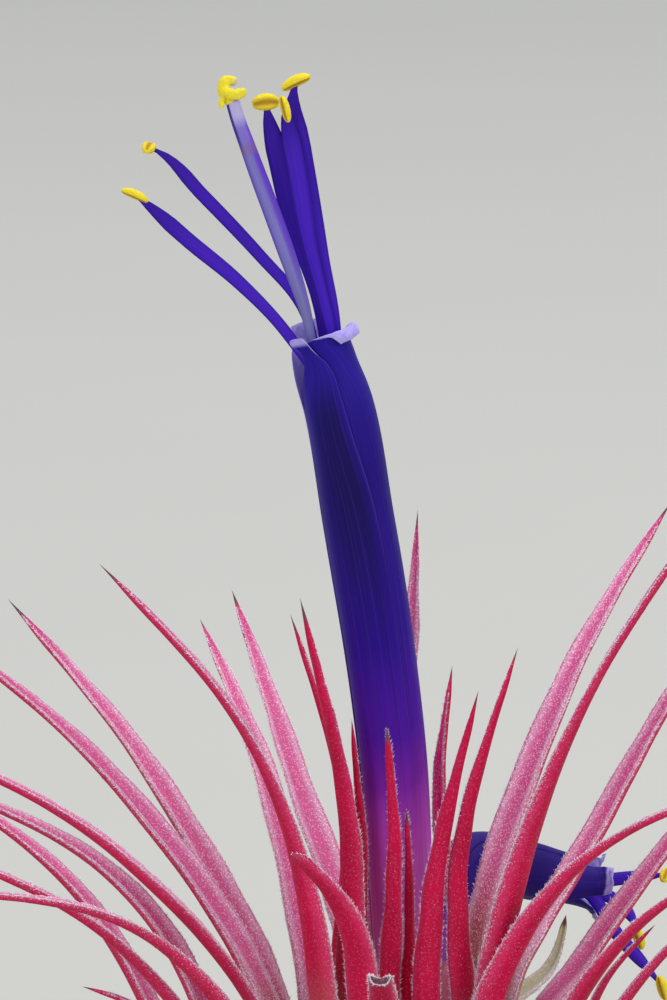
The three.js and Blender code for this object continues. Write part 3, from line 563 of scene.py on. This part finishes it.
def leaf_rings(node):
    """A leaf's own rings from its foot to its tip: an edge, three points of its outer face, the
    other edge and three points of its inner face."""
    solid = welded(node)
    levels = next(
        levels for levels in map(levels_from, solid.verts)
        if all(len(level) == 8 for level in levels[1:])
    )
    rings = [ring_in_order(level, before) for before, level in zip(levels, levels[1:])][::-1]
    neck = rings[NECK_RING]
    apart = np.linalg.norm(neck - np.roll(neck, 4, 0), axis=1)
    rings[NECK_RING] = np.roll(neck, -int(apart.argmax()), 0)
    if np.hypot(*rings[NECK_RING][2, :2]) < np.hypot(*rings[NECK_RING][6, :2]):
        rings[NECK_RING] = np.roll(rings[NECK_RING], 4, 0)
    for place in range(NECK_RING + 1, len(rings)):
        rings[place] = turned_to(rings[place], rings[place - 1])
    for place in range(NECK_RING - 1, -1, -1):
        rings[place] = turned_to(rings[place], rings[place + 1])
    tip = np.array(levels[0][0].co) / MM
    solid.free()
    return np.array([*rings, np.repeat(tip[None], 8, 0)])


# Leaves

LEAF_ROWS = 72
FACE_COLUMNS = 11
COLUMN_PLACES = np.array([-1, -0.55, 0, 0.55, 1])
CHANNEL_DEPTH = 0.5               # of a blade's thickness, taken out of its inner face
EDGE_WAVER = 0.05                 # mm
TIP_REACH = 7                     # mm over which a blade narrows to a needle
TIP_SLIMMING = 0.35
BLUNT_LEAVES = ("leaf_02", "leaf_11", "leaf_25", "floral_bract")


def face_columns(corners):
    """A face's five columns of points as a finer grid."""
    fine = np.linspace(-1, 1, FACE_COLUMNS)
    return spline(COLUMN_PLACES, corners.swapaxes(0, 1), fine).swapaxes(0, 1)


def leaf_faces(node, draw):
    """The outer and the inner face of a fine leaf, as two grids that share their edges."""
    rings = leaf_rings(node)
    knots = lengths_along(rings.mean(1))
    rows = knots[-1] * np.linspace(0, 1, LEAF_ROWS)
    columns = spline(knots, rings, rows)
    outer = face_columns(columns[:, [0, 1, 2, 3, 4]])
    inner = face_columns(columns[:, [0, 7, 6, 5, 4]])
    across = np.linspace(-1, 1, FACE_COLUMNS)
    channel = CHANNEL_DEPTH * smooth_step(0.3, 0.5, rows / knots[-1])[:, None] * (1 - across**2)
    inner += (outer - inner) * channel[..., None]
    to_tip = knots[-1] - rows
    if node not in BLUNT_LEAVES:
        slim = TIP_SLIMMING * (1 - smooth_step(0, TIP_REACH, to_tip))[:, None, None]
        spine = (outer[:, :1] + outer[:, -1:]) / 2
        outer += (spine - outer) * slim
        inner += (spine - inner) * slim
    waver = EDGE_WAVER * np.sin(rows[:, None] * draw.uniform(0.8, 1.6, 2) + draw.uniform(0, 6, 2))
    waver *= smooth_step(0, TIP_REACH + 1, to_tip)[:, None]
    side = unit(outer[:, -1] - outer[:, 0])[:, None]
    push = waver[:, :1] * np.maximum(0, -across) + waver[:, 1:] * np.maximum(0, across)
    outer += side * push[..., None]
    inner += side * push[..., None]
    return outer, inner, rows / knots[-1]


def to_edges(places, frost):
    """How near an edge each place across a leaf is, from 0 at its middle line to 1. The margin
    that this marks is narrower where a leaf has few scales."""
    return np.abs(places) ** (1 + 4 * max(0, 1 - frost))


def leaf_solid(outer, inner, shares, blush_and_glow, frost):
    """A leaf's blade and sheath as one closed solid that ends in a point."""
    rings = np.concatenate([outer, inner[:, -2:0:-1]], 1)[:-1]
    to_edge = to_edges(np.linspace(-1, 1, FACE_COLUMNS), frost)
    marks = np.zeros((*rings.shape[:2], 4))
    marks[..., 0] = shares[:-1, None]
    marks[:, FACE_COLUMNS:, 1] = 1
    marks[..., 2] = blush_and_glow
    marks[..., 3] = np.concatenate([to_edge, to_edge[-2:0:-1]])
    solid = ring_solid(rings, marks, LEAF)
    solid["points"][-1] = outer[-1].mean(0)
    return solid


def grid_cells(grid):
    """By cell of a grid: the way towards the tip, and the way out, as long as the area."""
    down = grid[1:, :-1] - grid[:-1, :-1]
    right = grid[:-1, 1:] - grid[:-1, :-1]
    return down, np.cross(right, down)


def cell_samples(grid, weights, count, draw):
    """Places on a grid of points, drawn by the area and weight of its cells: the points, the
    directions out of the surface and towards the tip, and the cells."""
    down, normals = grid_cells(grid)
    chance = (np.linalg.norm(normals, axis=-1) * weights).ravel()
    cells = draw.choice(len(chance), count, p=chance / chance.sum())
    row, column = np.unravel_index(cells, weights.shape)
    u, v = draw.random((2, count, 1))
    points = (
        (1 - v) * ((1 - u) * grid[row, column] + u * grid[row, column + 1])
        + v * ((1 - u) * grid[row + 1, column] + u * grid[row + 1, column + 1])
    )
    return points, unit(normals[row, column]), unit(down[row, column]), (row, column)


def scale_shape(points, outward, tipward, length, width, lift, white, draw):
    """Small closed scales with three-sided sections. Each stands on the surface, points towards
    the tip and lifts off by an angle."""
    count = len(points)
    marks = np.zeros((count, 3))
    marks[:, 2] = white
    turn = draw.normal(0, 0.45, (count, 1))
    sideways = unit(np.cross(tipward, outward))
    forward = unit(tipward * np.cos(turn) + sideways * np.sin(turn))
    sideways = np.cross(forward, outward)
    aim = forward * np.cos(lift)[:, None] + outward * np.sin(lift)[:, None]
    length, width = length[:, None], width[:, None]
    base = points - outward * 0.02
    corners = np.stack([
        base + sideways * width / 2,
        base - sideways * width / 2,
        base + outward * width * 0.4,
        base + aim * length,
    ], 1)
    starts = 4 * np.arange(count)[:, None, None]
    faces = np.array([[1, 0, 2], [0, 1, 3], [0, 3, 2], [1, 2, 3]])[None] + starts
    return {
        "points": corners.reshape(-1, 3),
        "faces": [faces.reshape(-1, 3)],
        "marks": np.repeat(marks, 4, 0),
        "material": SCALES,
    }


# Scales to a square millimetre of the inner face, of the outer face's middle and of its margins,
# and to a millimetre of an edge
INNER_SCALES = 30
OUTER_SCALES = 14
MARGIN_SCALES = 45
EDGE_SCALES = 15
FRINGE_START = 0.3
BARE_TIP = 3.5                    # mm of a leaf's tip with hardly any scales
BARE_BLUNT_TIP = 0.3              # the same on a leaf with a blunt end
CUT_LEAF = "leaf_25"              # ends in a cut, with a fringe round it
CUT_SCALES = 160                  # on each of its two faces


def face_scales(grid, density, white, length, width, lift, draw):
    """Scales on a face, by the number to a square millimetre of each of its cells, and how white
    they are by its rows and columns."""
    area = np.linalg.norm(grid_cells(grid)[1], axis=-1)
    count = int((area * density).sum())
    points, outward, tipward, cells = cell_samples(grid, density, count, draw)
    white = np.clip(np.broadcast_to(white, area.shape)[cells] + draw.normal(0, 0.2, count), 0, 1)
    return scale_shape(
        points, outward, tipward, draw.uniform(*length, count), draw.uniform(*width, count),
        draw.uniform(*lift, count), white, draw)


def edge_scales(line, other, count, start, bare, draw):
    """A fringe of scales that stand out from an edge and lean towards the tip. It starts at a
    share of the edge's length and leaves some mm of its end bare."""
    whole = lengths_along(line)
    rows = draw.uniform(start, 1, count) * (whole[-1] - bare)
    points = spline(whole, line, rows)
    tipward = unit(spline(whole, line, rows + 0.05) - points)
    away = unit(spline(whole, line - other, rows) + 1e-9)
    face = unit(np.cross(tipward, away))
    lean = draw.normal(0, 0.6, (count, 1))
    outward = unit(away * np.cos(lean) + face * np.sin(lean))
    white = draw.uniform(0.8, 1, count)
    return scale_shape(
        points, outward, tipward, draw.uniform(0.12, 0.28, count), draw.uniform(0.05, 0.085, count),
        draw.uniform(0.4, 1.2, count), white, draw)


def leaf_scales(outer, inner, shares, frost, bare, draw):
    """The scales of a leaf: dense on its inner face and margins, sparse on the outer face, and a
    fringe along each edge."""
    length = lengths_along(outer[:, 0])[-1]
    middle = (shares[1:, None] + shares[:-1, None]) / 2
    places = np.linspace(-1, 1, FACE_COLUMNS)
    margin = smooth_step(0.55, 0.95, to_edges((places[1:] + places[:-1])[None] / 2, frost))
    clear = smooth_step(0.2, 0.34, middle) * smooth_step(1, 1 - 1.5 * bare / length, middle)
    clear = clear * (1 + max(0, 1 - frost) * (1 - 2 * middle))
    count = int(length * (1 - FRINGE_START) * EDGE_SCALES * (0.6 + 0.4 * frost))
    return [
        face_scales(inner[:, ::-1], INNER_SCALES * (frost + margin) * clear, 0.5 + 0.5 * margin,
                    (0.07, 0.15), (0.05, 0.085), (0.15, 0.8), draw),
        face_scales(outer, (OUTER_SCALES * frost + MARGIN_SCALES * margin**2) * clear,
                    0.05 + 0.8 * margin, (0.05, 0.1), (0.035, 0.06), (0.1, 0.6), draw),
        edge_scales(outer[:, 0], outer[:, -1], count, FRINGE_START, bare / 2, draw),
        edge_scales(outer[:, -1], outer[:, 0], count, FRINGE_START, bare / 2, draw),
    ]


PALE_LEAF = "leaf_24"
PALE_BLUSH = 0.1
BRACT_FROST = 0.4
LAST_MIDDLE_LEAF = 7              # the leaves round the flower, smoother than the rest
GLOWING_BLUSH = 1.3               # above 1, the inner face is brighter, as if light came through
FIRST_LOWER_LEAF = 31


def leaf_look(number, draw):
    """How red a leaf has turned, and how thick its scales are. The middle leaves get a mark above 1,
    which paints their inner faces brighter: painted light.
    """
    if number >= FIRST_LOWER_LEAF:
        return draw.uniform(0.35, 0.55), draw.uniform(0.9, 1.1)
    if number <= LAST_MIDDLE_LEAF:
        return GLOWING_BLUSH, draw.uniform(0.35, 0.55)
    return draw.uniform(0.9, 1), draw.uniform(0.8, 1.1)


def dress_leaf(node, blush_and_glow, frost, draw):
    outer, inner, shares = leaf_faces(node, draw)
    bare = BARE_BLUNT_TIP if node in BLUNT_LEAVES else BARE_TIP
    shapes = [leaf_solid(outer, inner, shares * draw.uniform(0.965, 1), blush_and_glow, frost),
              *leaf_scales(outer, inner, shares, frost, bare, draw)]
    if node == CUT_LEAF:
        # The last row is one point, so the fringe stands on the row before it
        shapes += [edge_scales(face[-2], face[-6], CUT_SCALES, 0, 0, draw) for face in (outer, inner)]
    make_piece(node, shapes)


leaf_nodes = sorted(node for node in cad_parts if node.startswith("leaf_"))
for node in leaf_nodes:
    number = int(node.split("_")[1])
    draw = np.random.default_rng(number)
    blush_and_glow, frost = leaf_look(number, draw)
    if node == PALE_LEAF:
        blush_and_glow = PALE_BLUSH
    dress_leaf(node, blush_and_glow, frost, draw)
dress_leaf("floral_bract", GLOWING_BLUSH, BRACT_FROST, np.random.default_rng(60))


# The open flower

FLOWER_AXIS = path_through([
    [0, 0, 17.5], [-0.5, 0, 25], [-0.8, 0, 31], [-1.3, 0, 39.2], [-2.2, 0, 46.6], [-3.4, 0, 54],
    [-4.7, 0, 61.3], [-5.3, 0, 63.2], [-5.8, 0, 65.3],
])
TO_THE_RIGHT = (1, 0, 0)

# The rows that the three petals share, from the foot upward: the share of the way up the tube,
# the directions of the two edges from the petal's middle in degrees, and the radii of the first
# edge, the middle and the second edge
PETAL_FOOT_ROWS = [
    (0, -46, 46, 1.5, 1.5, 1.5), (0.07, -61, 61, 1.4, 1.54, 1.68), (0.14, -75, 75, 1.31, 1.58, 1.85),
    (0.24, -75, 75, 1.31, 1.62, 1.93), (0.35, -75, 75, 1.36, 1.7, 2.04),
    (0.46, -75, 75, 1.42, 1.76, 2.1), (0.57, -75, 75, 1.46, 1.8, 2.14),
    (0.68, -75, 75, 1.51, 1.85, 2.19), (0.78, -75, 70, 1.5, 1.84, 2.18),
]
# Each petal's middle, in degrees round the tube from +X, how far its tip's second edge is raised
# and its first edge lowered, and its own rows near the mouth. A share above 1 is past the end of
# the tube's axis.
PETALS = {
    "petal_1": (232, 0, [
        (0.87, -75, 53, 1.48, 1.82, 2.14), (0.92, -58, 50, 1.6, 1.76, 2.04),
        (0.95, -22, 51, 1.68, 1.68, 1.9), (0.968, -6, 44, 1.64, 1.62, 1.8),
        (0.98, -4, 31, 1.62, 1.58, 1.7), (0.99, -8, 21, 1.8, 1.63, 1.68),
        (0.996, -13, 16, 2.02, 1.69, 1.69), (1.001, -14, 12, 2.14, 1.78, 1.71),
        (1.005, -11, 8, 2.14, 1.88, 1.78),
    ]),
    "petal_2": (352, 0.1, [
        (0.87, -82, 75, 1.48, 1.82, 2.14), (0.92, -86, 75, 1.42, 1.78, 2.08),
        (0.95, -94, 72, 1.36, 1.7, 1.96), (0.97, -102, 64, 1.28, 1.62, 1.84),
        (0.982, -110, 52, 1.24, 1.56, 1.7), (0.99, -114, 40, 1.28, 1.56, 1.62),
        (0.9955, -112, 30, 1.36, 1.6, 1.62), (1, -98, 24, 1.48, 1.72, 1.74),
        (1.0025, -78, 20, 1.7, 1.92, 1.98), (1.001, -60, 16, 1.9, 2.1, 2.2),
        (0.996, -52, 12, 1.98, 2.22, 2.3), (0.9905, -45, 8, 1.96, 2.2, 2.32),
    ]),
    "petal_3": (112, 0, [
        (0.87, -75, 75, 1.48, 1.82, 2.14), (0.92, -75, 75, 1.42, 1.75, 2.06),
        (0.95, -74, 75, 1.4, 1.68, 1.94), (0.968, -72, 74, 1.36, 1.6, 1.84),
        (0.98, -70, 68, 1.34, 1.56, 1.76), (0.988, -70, 54, 1.38, 1.58, 1.68),
        (0.995, -71, 45, 1.5, 1.62, 1.65), (1.003, -72, 41, 1.64, 1.68, 1.66),
        (1.009, -70, 38, 1.8, 1.76, 1.72), (1.013, -64, 34, 1.95, 1.88, 1.8),
    ]),
}
MOUTH = 0.87                      # the share at which a petal's own rows start
CRINKLE = 0.03                    # mm
FLOWER_LENGTH = 48.4              # along the tube's axis
PETAL_THICKNESS = 0.22
PETAL_COLUMNS = 41
# A fine petal lies where the solid's outer face is, and its edges are wrapped closer than the
# solid's: these are both for the tube, and for the tips, where the petals part
OUTWARD = (0.2, 0.08)
WRAP = (0.25, 0.9)


def petal_shape(axis, hint, middle, rows, mouth, tilt, crinkle, material, draw):
    """A petal rolled round the axis, with a crinkled tip that turns out and tilts. Its rows above
    the share at the mouth are closer together."""
    rows = np.array(rows, float)
    body = int(np.searchsorted(rows[:, 0], mouth))
    last = len(rows) - 1
    places = np.concatenate([np.linspace(0, body, 60)[:-1], np.linspace(body, last, 80)])
    up, first, second, near, centre_radius, far = spline(np.arange(last + 1.0), rows, places).T
    column = np.linspace(-1, 1, PETAL_COLUMNS)
    share = np.clip(up, 0, 1)
    along, across, inward = frames_along(axis, share, hint)
    parting = smooth_step(mouth + 0.03, mouth + 0.1, up)
    wrap = WRAP[0] + (WRAP[1] - WRAP[0]) * parting
    slope = (far - near) / 2 * wrap
    bow = ((far + near) / 2 - centre_radius) * wrap
    radius = centre_radius + OUTWARD[0] + (OUTWARD[1] - OUTWARD[0]) * parting
    reach = radius[:, None] + np.outer(slope, column) + np.outer(bow, column**2)
    angle = np.radians(middle + (first + second)[:, None] / 2 + np.outer((second - first) / 2, column))
    rise = np.zeros(reach.shape) + ((up - share) * FLOWER_LENGTH)[:, None]
    surface = (
        axis(share)[:, None]
        + across[:, None] * (reach * np.cos(angle))[..., None]
        + inward[:, None] * (reach * np.sin(angle))[..., None]
        + along[:, None] * rise[..., None]
    )
    travelled = lengths_along(surface[:, PETAL_COLUMNS // 2])
    near_tip = smooth_step(travelled[-1] - 1.6, travelled[-1], travelled)[:, None]
    surface += along[:, None] * (tilt * near_tip * column)[..., None]
    waves = np.zeros(reach.shape)
    for size in (0.9, 0.5, 0.28):
        turn = draw.uniform(0, math.pi)
        way = reach * angle * math.cos(turn) + travelled[:, None] * math.sin(turn)
        waves += size * np.sin(way * 2 * math.pi / (1.3 * size) + draw.uniform(0, 6))
    surface += grid_normals(surface) * (crinkle * near_tip * waves)[..., None]
    folds = np.sin(angle * 9 + draw.uniform(0, 6)) * np.sin(travelled[:, None] / 9 + draw.uniform(0, 6))
    surface += grid_normals(surface) * (0.012 * (1 - near_tip) * folds)[..., None]
    half = PETAL_THICKNESS / 2 * (1 - 0.8 * column**4) * (1 - 0.45 * near_tip)
    marks = np.zeros(surface.shape)
    marks[..., 0] = (travelled / travelled[-1])[:, None]
    marks[..., 1] = (column + 1) / 2
    return shell_solid(surface, half, marks, material)


for number, (node, (middle, tilt, mouth_rows)) in enumerate(PETALS.items()):
    shape = petal_shape(FLOWER_AXIS, TO_THE_RIGHT, middle, PETAL_FOOT_ROWS + mouth_rows, MOUTH, tilt,
                        CRINKLE, PETAL[node], np.random.default_rng(70 + number))
    make_piece(node, [shape])

FILAMENT_RING_RADIUS = 0.76
FILAMENT_WIDTHS = [0.92, 0.8, 1.3, 1.1, 1.3, 0.9]
# By filament: the side of the ring that it grows from, in degrees, and its way outside the tube
FILAMENT_ROUTES = [
    (186, [[-6.7, -0.7, 64.1], [-7.8, -0.85, 65.7], [-10.7, -1, 68.8], [-13.4, -1.2, 71.1],
           [-15.7, -1.5, 73.2]]),
    (155, [[-6.9, 0.3, 67.2], [-9.2, 0.5, 69.9], [-12.7, 0.8, 73.6], [-15.2, 0.95, 76.1]]),
    (105, [[-5.7, 0.5, 66.6], [-7.4, 0.5, 72.4], [-8.2, 0.4, 76.1], [-8.8, 0.4, 78.55]]),
    (350, [[-5.3, -0.2, 66.6], [-6.4, -0.4, 71.1], [-7, -0.4, 74.8], [-7.7, -0.35, 78.6]]),
    (25, [[-4.8, 0.3, 66.2], [-5.65, 0.4, 70.4], [-6.8, 0.4, 76.1], [-7.25, 0.4, 79.75]]),
    (62, [[-5.4, 0.7, 66.6], [-6.1, 1.1, 71.1], [-6.7, 1.3, 74.5], [-7.1, 1.5, 77]]),
]


def cad_points(node):
    return np.array([vert.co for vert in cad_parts[node].data.vertices]) / MM


def filament_shape(side, points, anther, wide_part):
    """A flat stalk from the foot of the tube to its anther, as wide as wide_part at its widest."""
    shares = np.array([0.008, 0.15, 0.3, 0.45, 0.6, 0.75, 0.88, 0.93])
    radius = FILAMENT_RING_RADIUS * (1 - 0.12 * smooth_step(0.8, 0.95, shares))
    turn = math.radians(side)
    ring = np.stack([radius * math.cos(turn), radius * math.sin(turn), 0 * radius], -1)
    low, high = cad_points(anther).min(0), cad_points(anther).max(0)
    path = path_through([*(FLOWER_AXIS(shares) + ring), *points, (low + high) / 2])
    run = np.array(points[-1]) - np.array(points[0])
    hint = (run[2], 0, -run[0])

    def width(share):
        wide = 0.5 + 0.2 * smooth_step(0.74, 0.8, share) + (wide_part - 0.7) * smooth_step(0.8, 0.92, share)
        return np.maximum(0.2, wide * np.clip((0.996 - share) / 0.04, 0, 1) ** 0.55)

    def thickness(share):
        return 0.14 + 0.16 * (1 - smooth_step(0.93, 1, share))

    return ribbon(path, hint, width, thickness, FILAMENT, rows=110, keel=0.14)


filaments = [
    filament_shape(side, points, "anther_%d" % (number + 1), FILAMENT_WIDTHS[number])
    for number, (side, points) in enumerate(FILAMENT_ROUTES)
]
make_piece("filaments", filaments)

ANTHER_ROWS = 34
ANTHER_SIDES = 28
# The direction that an anther's groove faces, and its half width in mm
ANTHER_FACES = {
    "anther_1": ((0.3, 0.5, 0.8), 0.29),
    "anther_3": ((0.1, -1, 0.1), 0.46),
    "anther_4": ((0.3, 0.5, 0.8), 0.27),
}
ANTHER_FACE = ((0.3, 0.5, 0.8), 0.36)


def anther_shape(node, draw):
    """Two long pollen sacs side by side, from the solid's own length and direction."""
    facing, half = ANTHER_FACES.get(node, ANTHER_FACE)
    points = cad_points(node)
    centre = (points.min(0) + points.max(0)) / 2
    along = np.linalg.eigh(np.cov((points - centre).T))[1][:, -1]
    reach = (points - centre) @ along
    length = reach.max() - reach.min()
    shares = np.linspace(0, 1, ANTHER_ROWS)
    sag = np.array([0, 0, -0.1])
    path = path_through([
        centre - along * length / 2 + sag,
        centre - along * length / 6,
        centre + along * length / 6,
        centre + along * length / 2 + sag,
    ])
    _, across, inward = frames_along(path, shares, unit(np.cross(along, facing)))
    angles = angles_round(ANTHER_SIDES)
    plump = np.sin(math.pi * np.clip(shares, 0.015, 0.985)) ** 0.36
    groove = np.exp(-((np.abs(np.sin(angles)) - 1) / 0.14) ** 2)
    grain = 1 + draw.normal(0, 0.02, (ANTHER_ROWS, ANTHER_SIDES))
    radius = half * np.outer(plump, 1 - 0.42 * groove) * grain
    side = radius * np.cos(angles) * 1.1
    face = radius * np.sin(angles)
    rings = rings_round(path(shares), across, inward, side, face)
    marks = np.zeros(rings.shape)
    marks[..., 2] = groove * smooth_step(0.05, 0.3, plump[:, None] - 0.3)
    return ring_solid(rings, marks, POLLEN)


for name, count in (("anther", 6), ("old_anther", 3)):
    for number in range(1, count + 1):
        node = "%s_%d" % (name, number)
        make_piece(node, [anther_shape(node, np.random.default_rng(number))])

STYLE_TIP = np.array([-10.78, -1, 79.24])
STYLE_ROUTE = [
    [-6.1, -0.75, 64.7], [-6.5, -1.15, 66.7], [-7.45, -1.35, 69.8], [-8.66, -1.3, 73.23],
    [-9.82, -1.2, 76.4],
]
STIGMA_FOOT = STYLE_TIP + [-0.1, 0, 0.45]
LOBE_ROWS = 44
LOBE_SIDES = 24
# Each lobe's points from the stigma's foot in mm, its half width, how far it twists, and whether
# its end is pale
STIGMA_LOBES = [
    ([[-0.05, 0, -0.35], [-0.3, -0.1, 0.1], [-0.52, -0.15, 0.5], [-0.4, -0.1, 0.88], [-0.05, 0, 0.98],
      [0.2, 0.1, 0.75]], 0.35, 0.5, True),
    ([[-0.5, -0.2, 0.5], [-0.25, -0.45, 0.34], [0.15, -0.45, 0.2], [0.5, -0.3, 0.26], [0.82, -0.1, 0.36]],
     0.33, 0.7, False),
    ([[-0.1, -0.1, 0.15], [-0.45, -0.25, 0.1], [-0.6, -0.3, -0.2], [-0.62, -0.3, -0.6]],
     0.17, 0.6, False),
]

style_path = path_through([
    *FLOWER_AXIS(np.array([0.004, 0.2, 0.4, 0.6, 0.8, 0.9])), *STYLE_ROUTE, STYLE_TIP, STIGMA_FOOT,
])
style = ribbon(
    style_path, TO_THE_RIGHT,
    lambda share: 0.5 + 0.54 * smooth_step(0.74, 0.86, share) - 0.2 * smooth_step(0.9, 1, share),
    lambda share: 0.45 + 0.15 * smooth_step(0.76, 0.9, share),
    STYLE, rows=110, keel=0.1,
)
make_piece("style", [style])


def stigma_lobe(points, half, twist, pale, draw):
    """A broad blade with a rounded end that twists on its way out."""
    path = path_through(np.array(points) + STIGMA_FOOT)
    shares = np.linspace(0, 1, LOBE_ROWS)
    _, across, inward = frames_along(path, shares, (0.1, 1, 0.1))
    turn = (math.pi / 2 + twist * (shares - draw.uniform(0.2, 0.8)))[:, None]
    side = across * np.cos(turn) + inward * np.sin(turn)
    face = inward * np.cos(turn) - across * np.sin(turn)
    angles = angles_round(LOBE_SIDES)
    swell = half * np.clip((1.02 - shares) / 0.14, 0, 1) ** 0.5 * (1 + 0.08 * np.sin(shares * 21))
    grain = 1 + draw.normal(0, 0.02, (LOBE_ROWS, LOBE_SIDES))
    out = np.outer(swell, np.cos(angles)) * grain
    lift = np.outer(swell * 0.6, np.sin(angles)) * grain
    rings = rings_round(path(shares), side, face, out, lift)
    marks = np.zeros(rings.shape)
    if pale:
        marks[..., 2] = smooth_step(0.8, 0.95, shares)[:, None]
    return ring_solid(rings, marks, STIGMA)


lobes = [
    stigma_lobe(*lobe, np.random.default_rng(90 + number))
    for number, lobe in enumerate(STIGMA_LOBES)
]
make_piece("stigma", lobes)


# The old flower

OLD_FLOWER_AXIS = path_through([
    [0.6, 3.5, 16.2], [0.9, 4.4, 20], [1.3, 5.5, 24], [2, 7.6, 27.9], [3.6, 10.4, 29.6],
    [6.9, 12.7, 28.7], [9.6, 13.6, 27.8], [12.2, 14, 27.2],
])
OLD_HINT = (0.5, -0.3, 0.8)
OLD_MOUTH = 0.82
OLD_CRINKLE = 0.06
OLD_PETAL_ROWS = [
    (0, -60, 60, 0.4, 0.5, 0.6), (0.12, -68, 68, 0.4, 0.55, 0.75), (0.25, -75, 75, 0.5, 0.75, 1),
    (0.45, -75, 75, 0.9, 1.2, 1.5), (0.6, -75, 75, 1.2, 1.55, 1.85), (0.72, -75, 75, 1.3, 1.6, 1.95),
    (0.82, -75, 75, 1.2, 1.5, 1.85), (0.88, -68, 68, 1.1, 1.4, 1.7), (0.93, -55, 55, 1.1, 1.35, 1.6),
    (0.965, -40, 40, 1.3, 1.45, 1.6), (0.99, -30, 30, 1.7, 1.75, 1.8), (1, -22, 22, 2.1, 2.15, 2.2),
]
OLD_FILAMENT_ROUTES = [
    [[9.6, 13.6, 27.8], [11.4, 14, 27.5], [13.4, 14.1, 27.7], [15.4, 14, 27.9]],
    [[9.6, 13.6, 27.8], [11.4, 14.1, 27], [13.2, 14.5, 26], [14.1, 14.6, 24.9]],
    [[9.6, 13.6, 27.8], [11.2, 13.7, 26.9], [13, 13.2, 24.4], [15.3, 12.3, 21.9]],
]

old_shapes = [
    petal_shape(OLD_FLOWER_AXIS, OLD_HINT, 40 + 120 * number, OLD_PETAL_ROWS, OLD_MOUTH, 0,
                OLD_CRINKLE, OLD_PETAL, np.random.default_rng(80 + number))
    for number in range(3)
]
for number, points in enumerate(OLD_FILAMENT_ROUTES):
    box = cad_points("old_anther_%d" % (number + 1))
    old_shapes.append(ribbon(
        path_through([*points, (box.min(0) + box.max(0)) / 2]), (0, 0.3, 1),
        lambda share: 0.85 * (1 - 0.75 * smooth_step(0.7, 1, share)),
        lambda share: 0.35 * (1 - 0.6 * smooth_step(0.7, 1, share)),
        FILAMENT, rows=50, keel=0.12,
    ))
make_piece("old_flower", old_shapes)


# The stem, its roots and the calyx

def softened(node, levels, rough, material, draw):
    """A smooth copy of a node's solid, with an uneven surface."""
    solid = welded(node)
    mesh = bpy.data.meshes.new(node + "_dressed")
    solid.to_mesh(mesh)
    solid.free()
    piece = placed(mesh)
    modifier = piece.modifiers.new("smooth", "SUBSURF")
    modifier.levels = modifier.render_levels = levels
    graph = bpy.context.evaluated_depsgraph_get()
    fine = bpy.data.meshes.new_from_object(piece.evaluated_get(graph))
    piece.modifiers.clear()
    piece.data = fine
    normals = np.zeros(len(fine.vertices) * 3)
    fine.vertices.foreach_get("normal", normals)
    points = np.zeros(len(fine.vertices) * 3)
    fine.vertices.foreach_get("co", points)
    push = draw.normal(0, rough * MM, len(fine.vertices))
    fine.vertices.foreach_set("co", points + normals * np.repeat(push, 3))
    fine.polygons.foreach_set("use_smooth", np.ones(len(fine.polygons), bool))
    fine.materials.clear()
    fine.materials.append(material)
    hand_over(piece, node)


softened("stem", 2, 0.025, BARK, np.random.default_rng(5))
softened("calyx", 1, 0.0, SEPAL, np.random.default_rng(6))


# Floor, light and camera

FLOOR_HALF = 3000


def add_floor():
    mesh = bpy.data.meshes.new("floor")
    corners = [(-1, -1, 0), (1, -1, 0), (1, 1, 0), (-1, 1, 0)]
    mesh.from_pydata(np.array(corners) * FLOOR_HALF * MM, [], [(0, 1, 2, 3)])
    floor = placed(mesh)
    paint = Paint("floor_matt", roughness=0.9)
    soft = paint.noise(paint.place(), 90.0)
    mesh.materials.append(paint.finish(paint.mix(soft, srgb(187, 186, 180), srgb(191, 190, 184))))


def add_light(name, place, aim, size, power, colour):
    light = bpy.data.lights.new(name, "AREA")
    light.shape = "DISK"
    light.size = size * MM
    light.energy = power
    light.color = colour
    lamp = placed(light)
    place, aim = np.array(place, float), np.array(aim, float)
    lamp.location = place * MM
    point_at(lamp, aim - place)


def point_at(thing, direction):
    """Turns a lamp or camera so that it looks along the direction, with its top upward."""
    back = -unit(np.asarray(direction, float))
    right = unit(np.cross([0, 0, 1], back))
    top = np.cross(back, right)
    turn = np.stack([right, top, back], 1)
    thing.rotation_mode = "QUATERNION"
    thing.rotation_quaternion = Matrix(turn.tolist()).to_quaternion()


def add_camera():
    camera = bpy.data.cameras.new("camera")
    camera.lens = CAMERA_LENS
    camera.sensor_width = 36
    camera.clip_start = 0.01
    camera.clip_end = 20
    eye = placed(camera)
    back = np.array([0, -math.cos(CAMERA_ELEVATION), math.sin(CAMERA_ELEVATION)])
    eye.location = (CAMERA_TARGET + back * CAMERA_DISTANCE) * MM
    point_at(eye, -back)
    bpy.context.scene.camera = eye


def add_world():
    world = bpy.data.worlds.new("studio")
    world.use_nodes = True
    background = world.node_tree.nodes["Background"]
    background.inputs["Color"].default_value = (0.9, 0.93, 1, 1)
    background.inputs["Strength"].default_value = 0.75
    bpy.context.scene.world = world


add_floor()
add_light("top_light", (100, 200, 900), (0, 100, 0), 600, 4.0, (1, 0.99, 0.97))
add_light("key_light", (380, -330, 360), (0, 0, 45), 260, 0.9, (1, 0.98, 0.95))
add_light("fill_light", (-260, -420, 200), (0, 0, 45), 300, 0.5, (0.96, 0.97, 1))
add_world()
add_camera()
bpy.context.scene.view_settings.view_transform = "Standard"
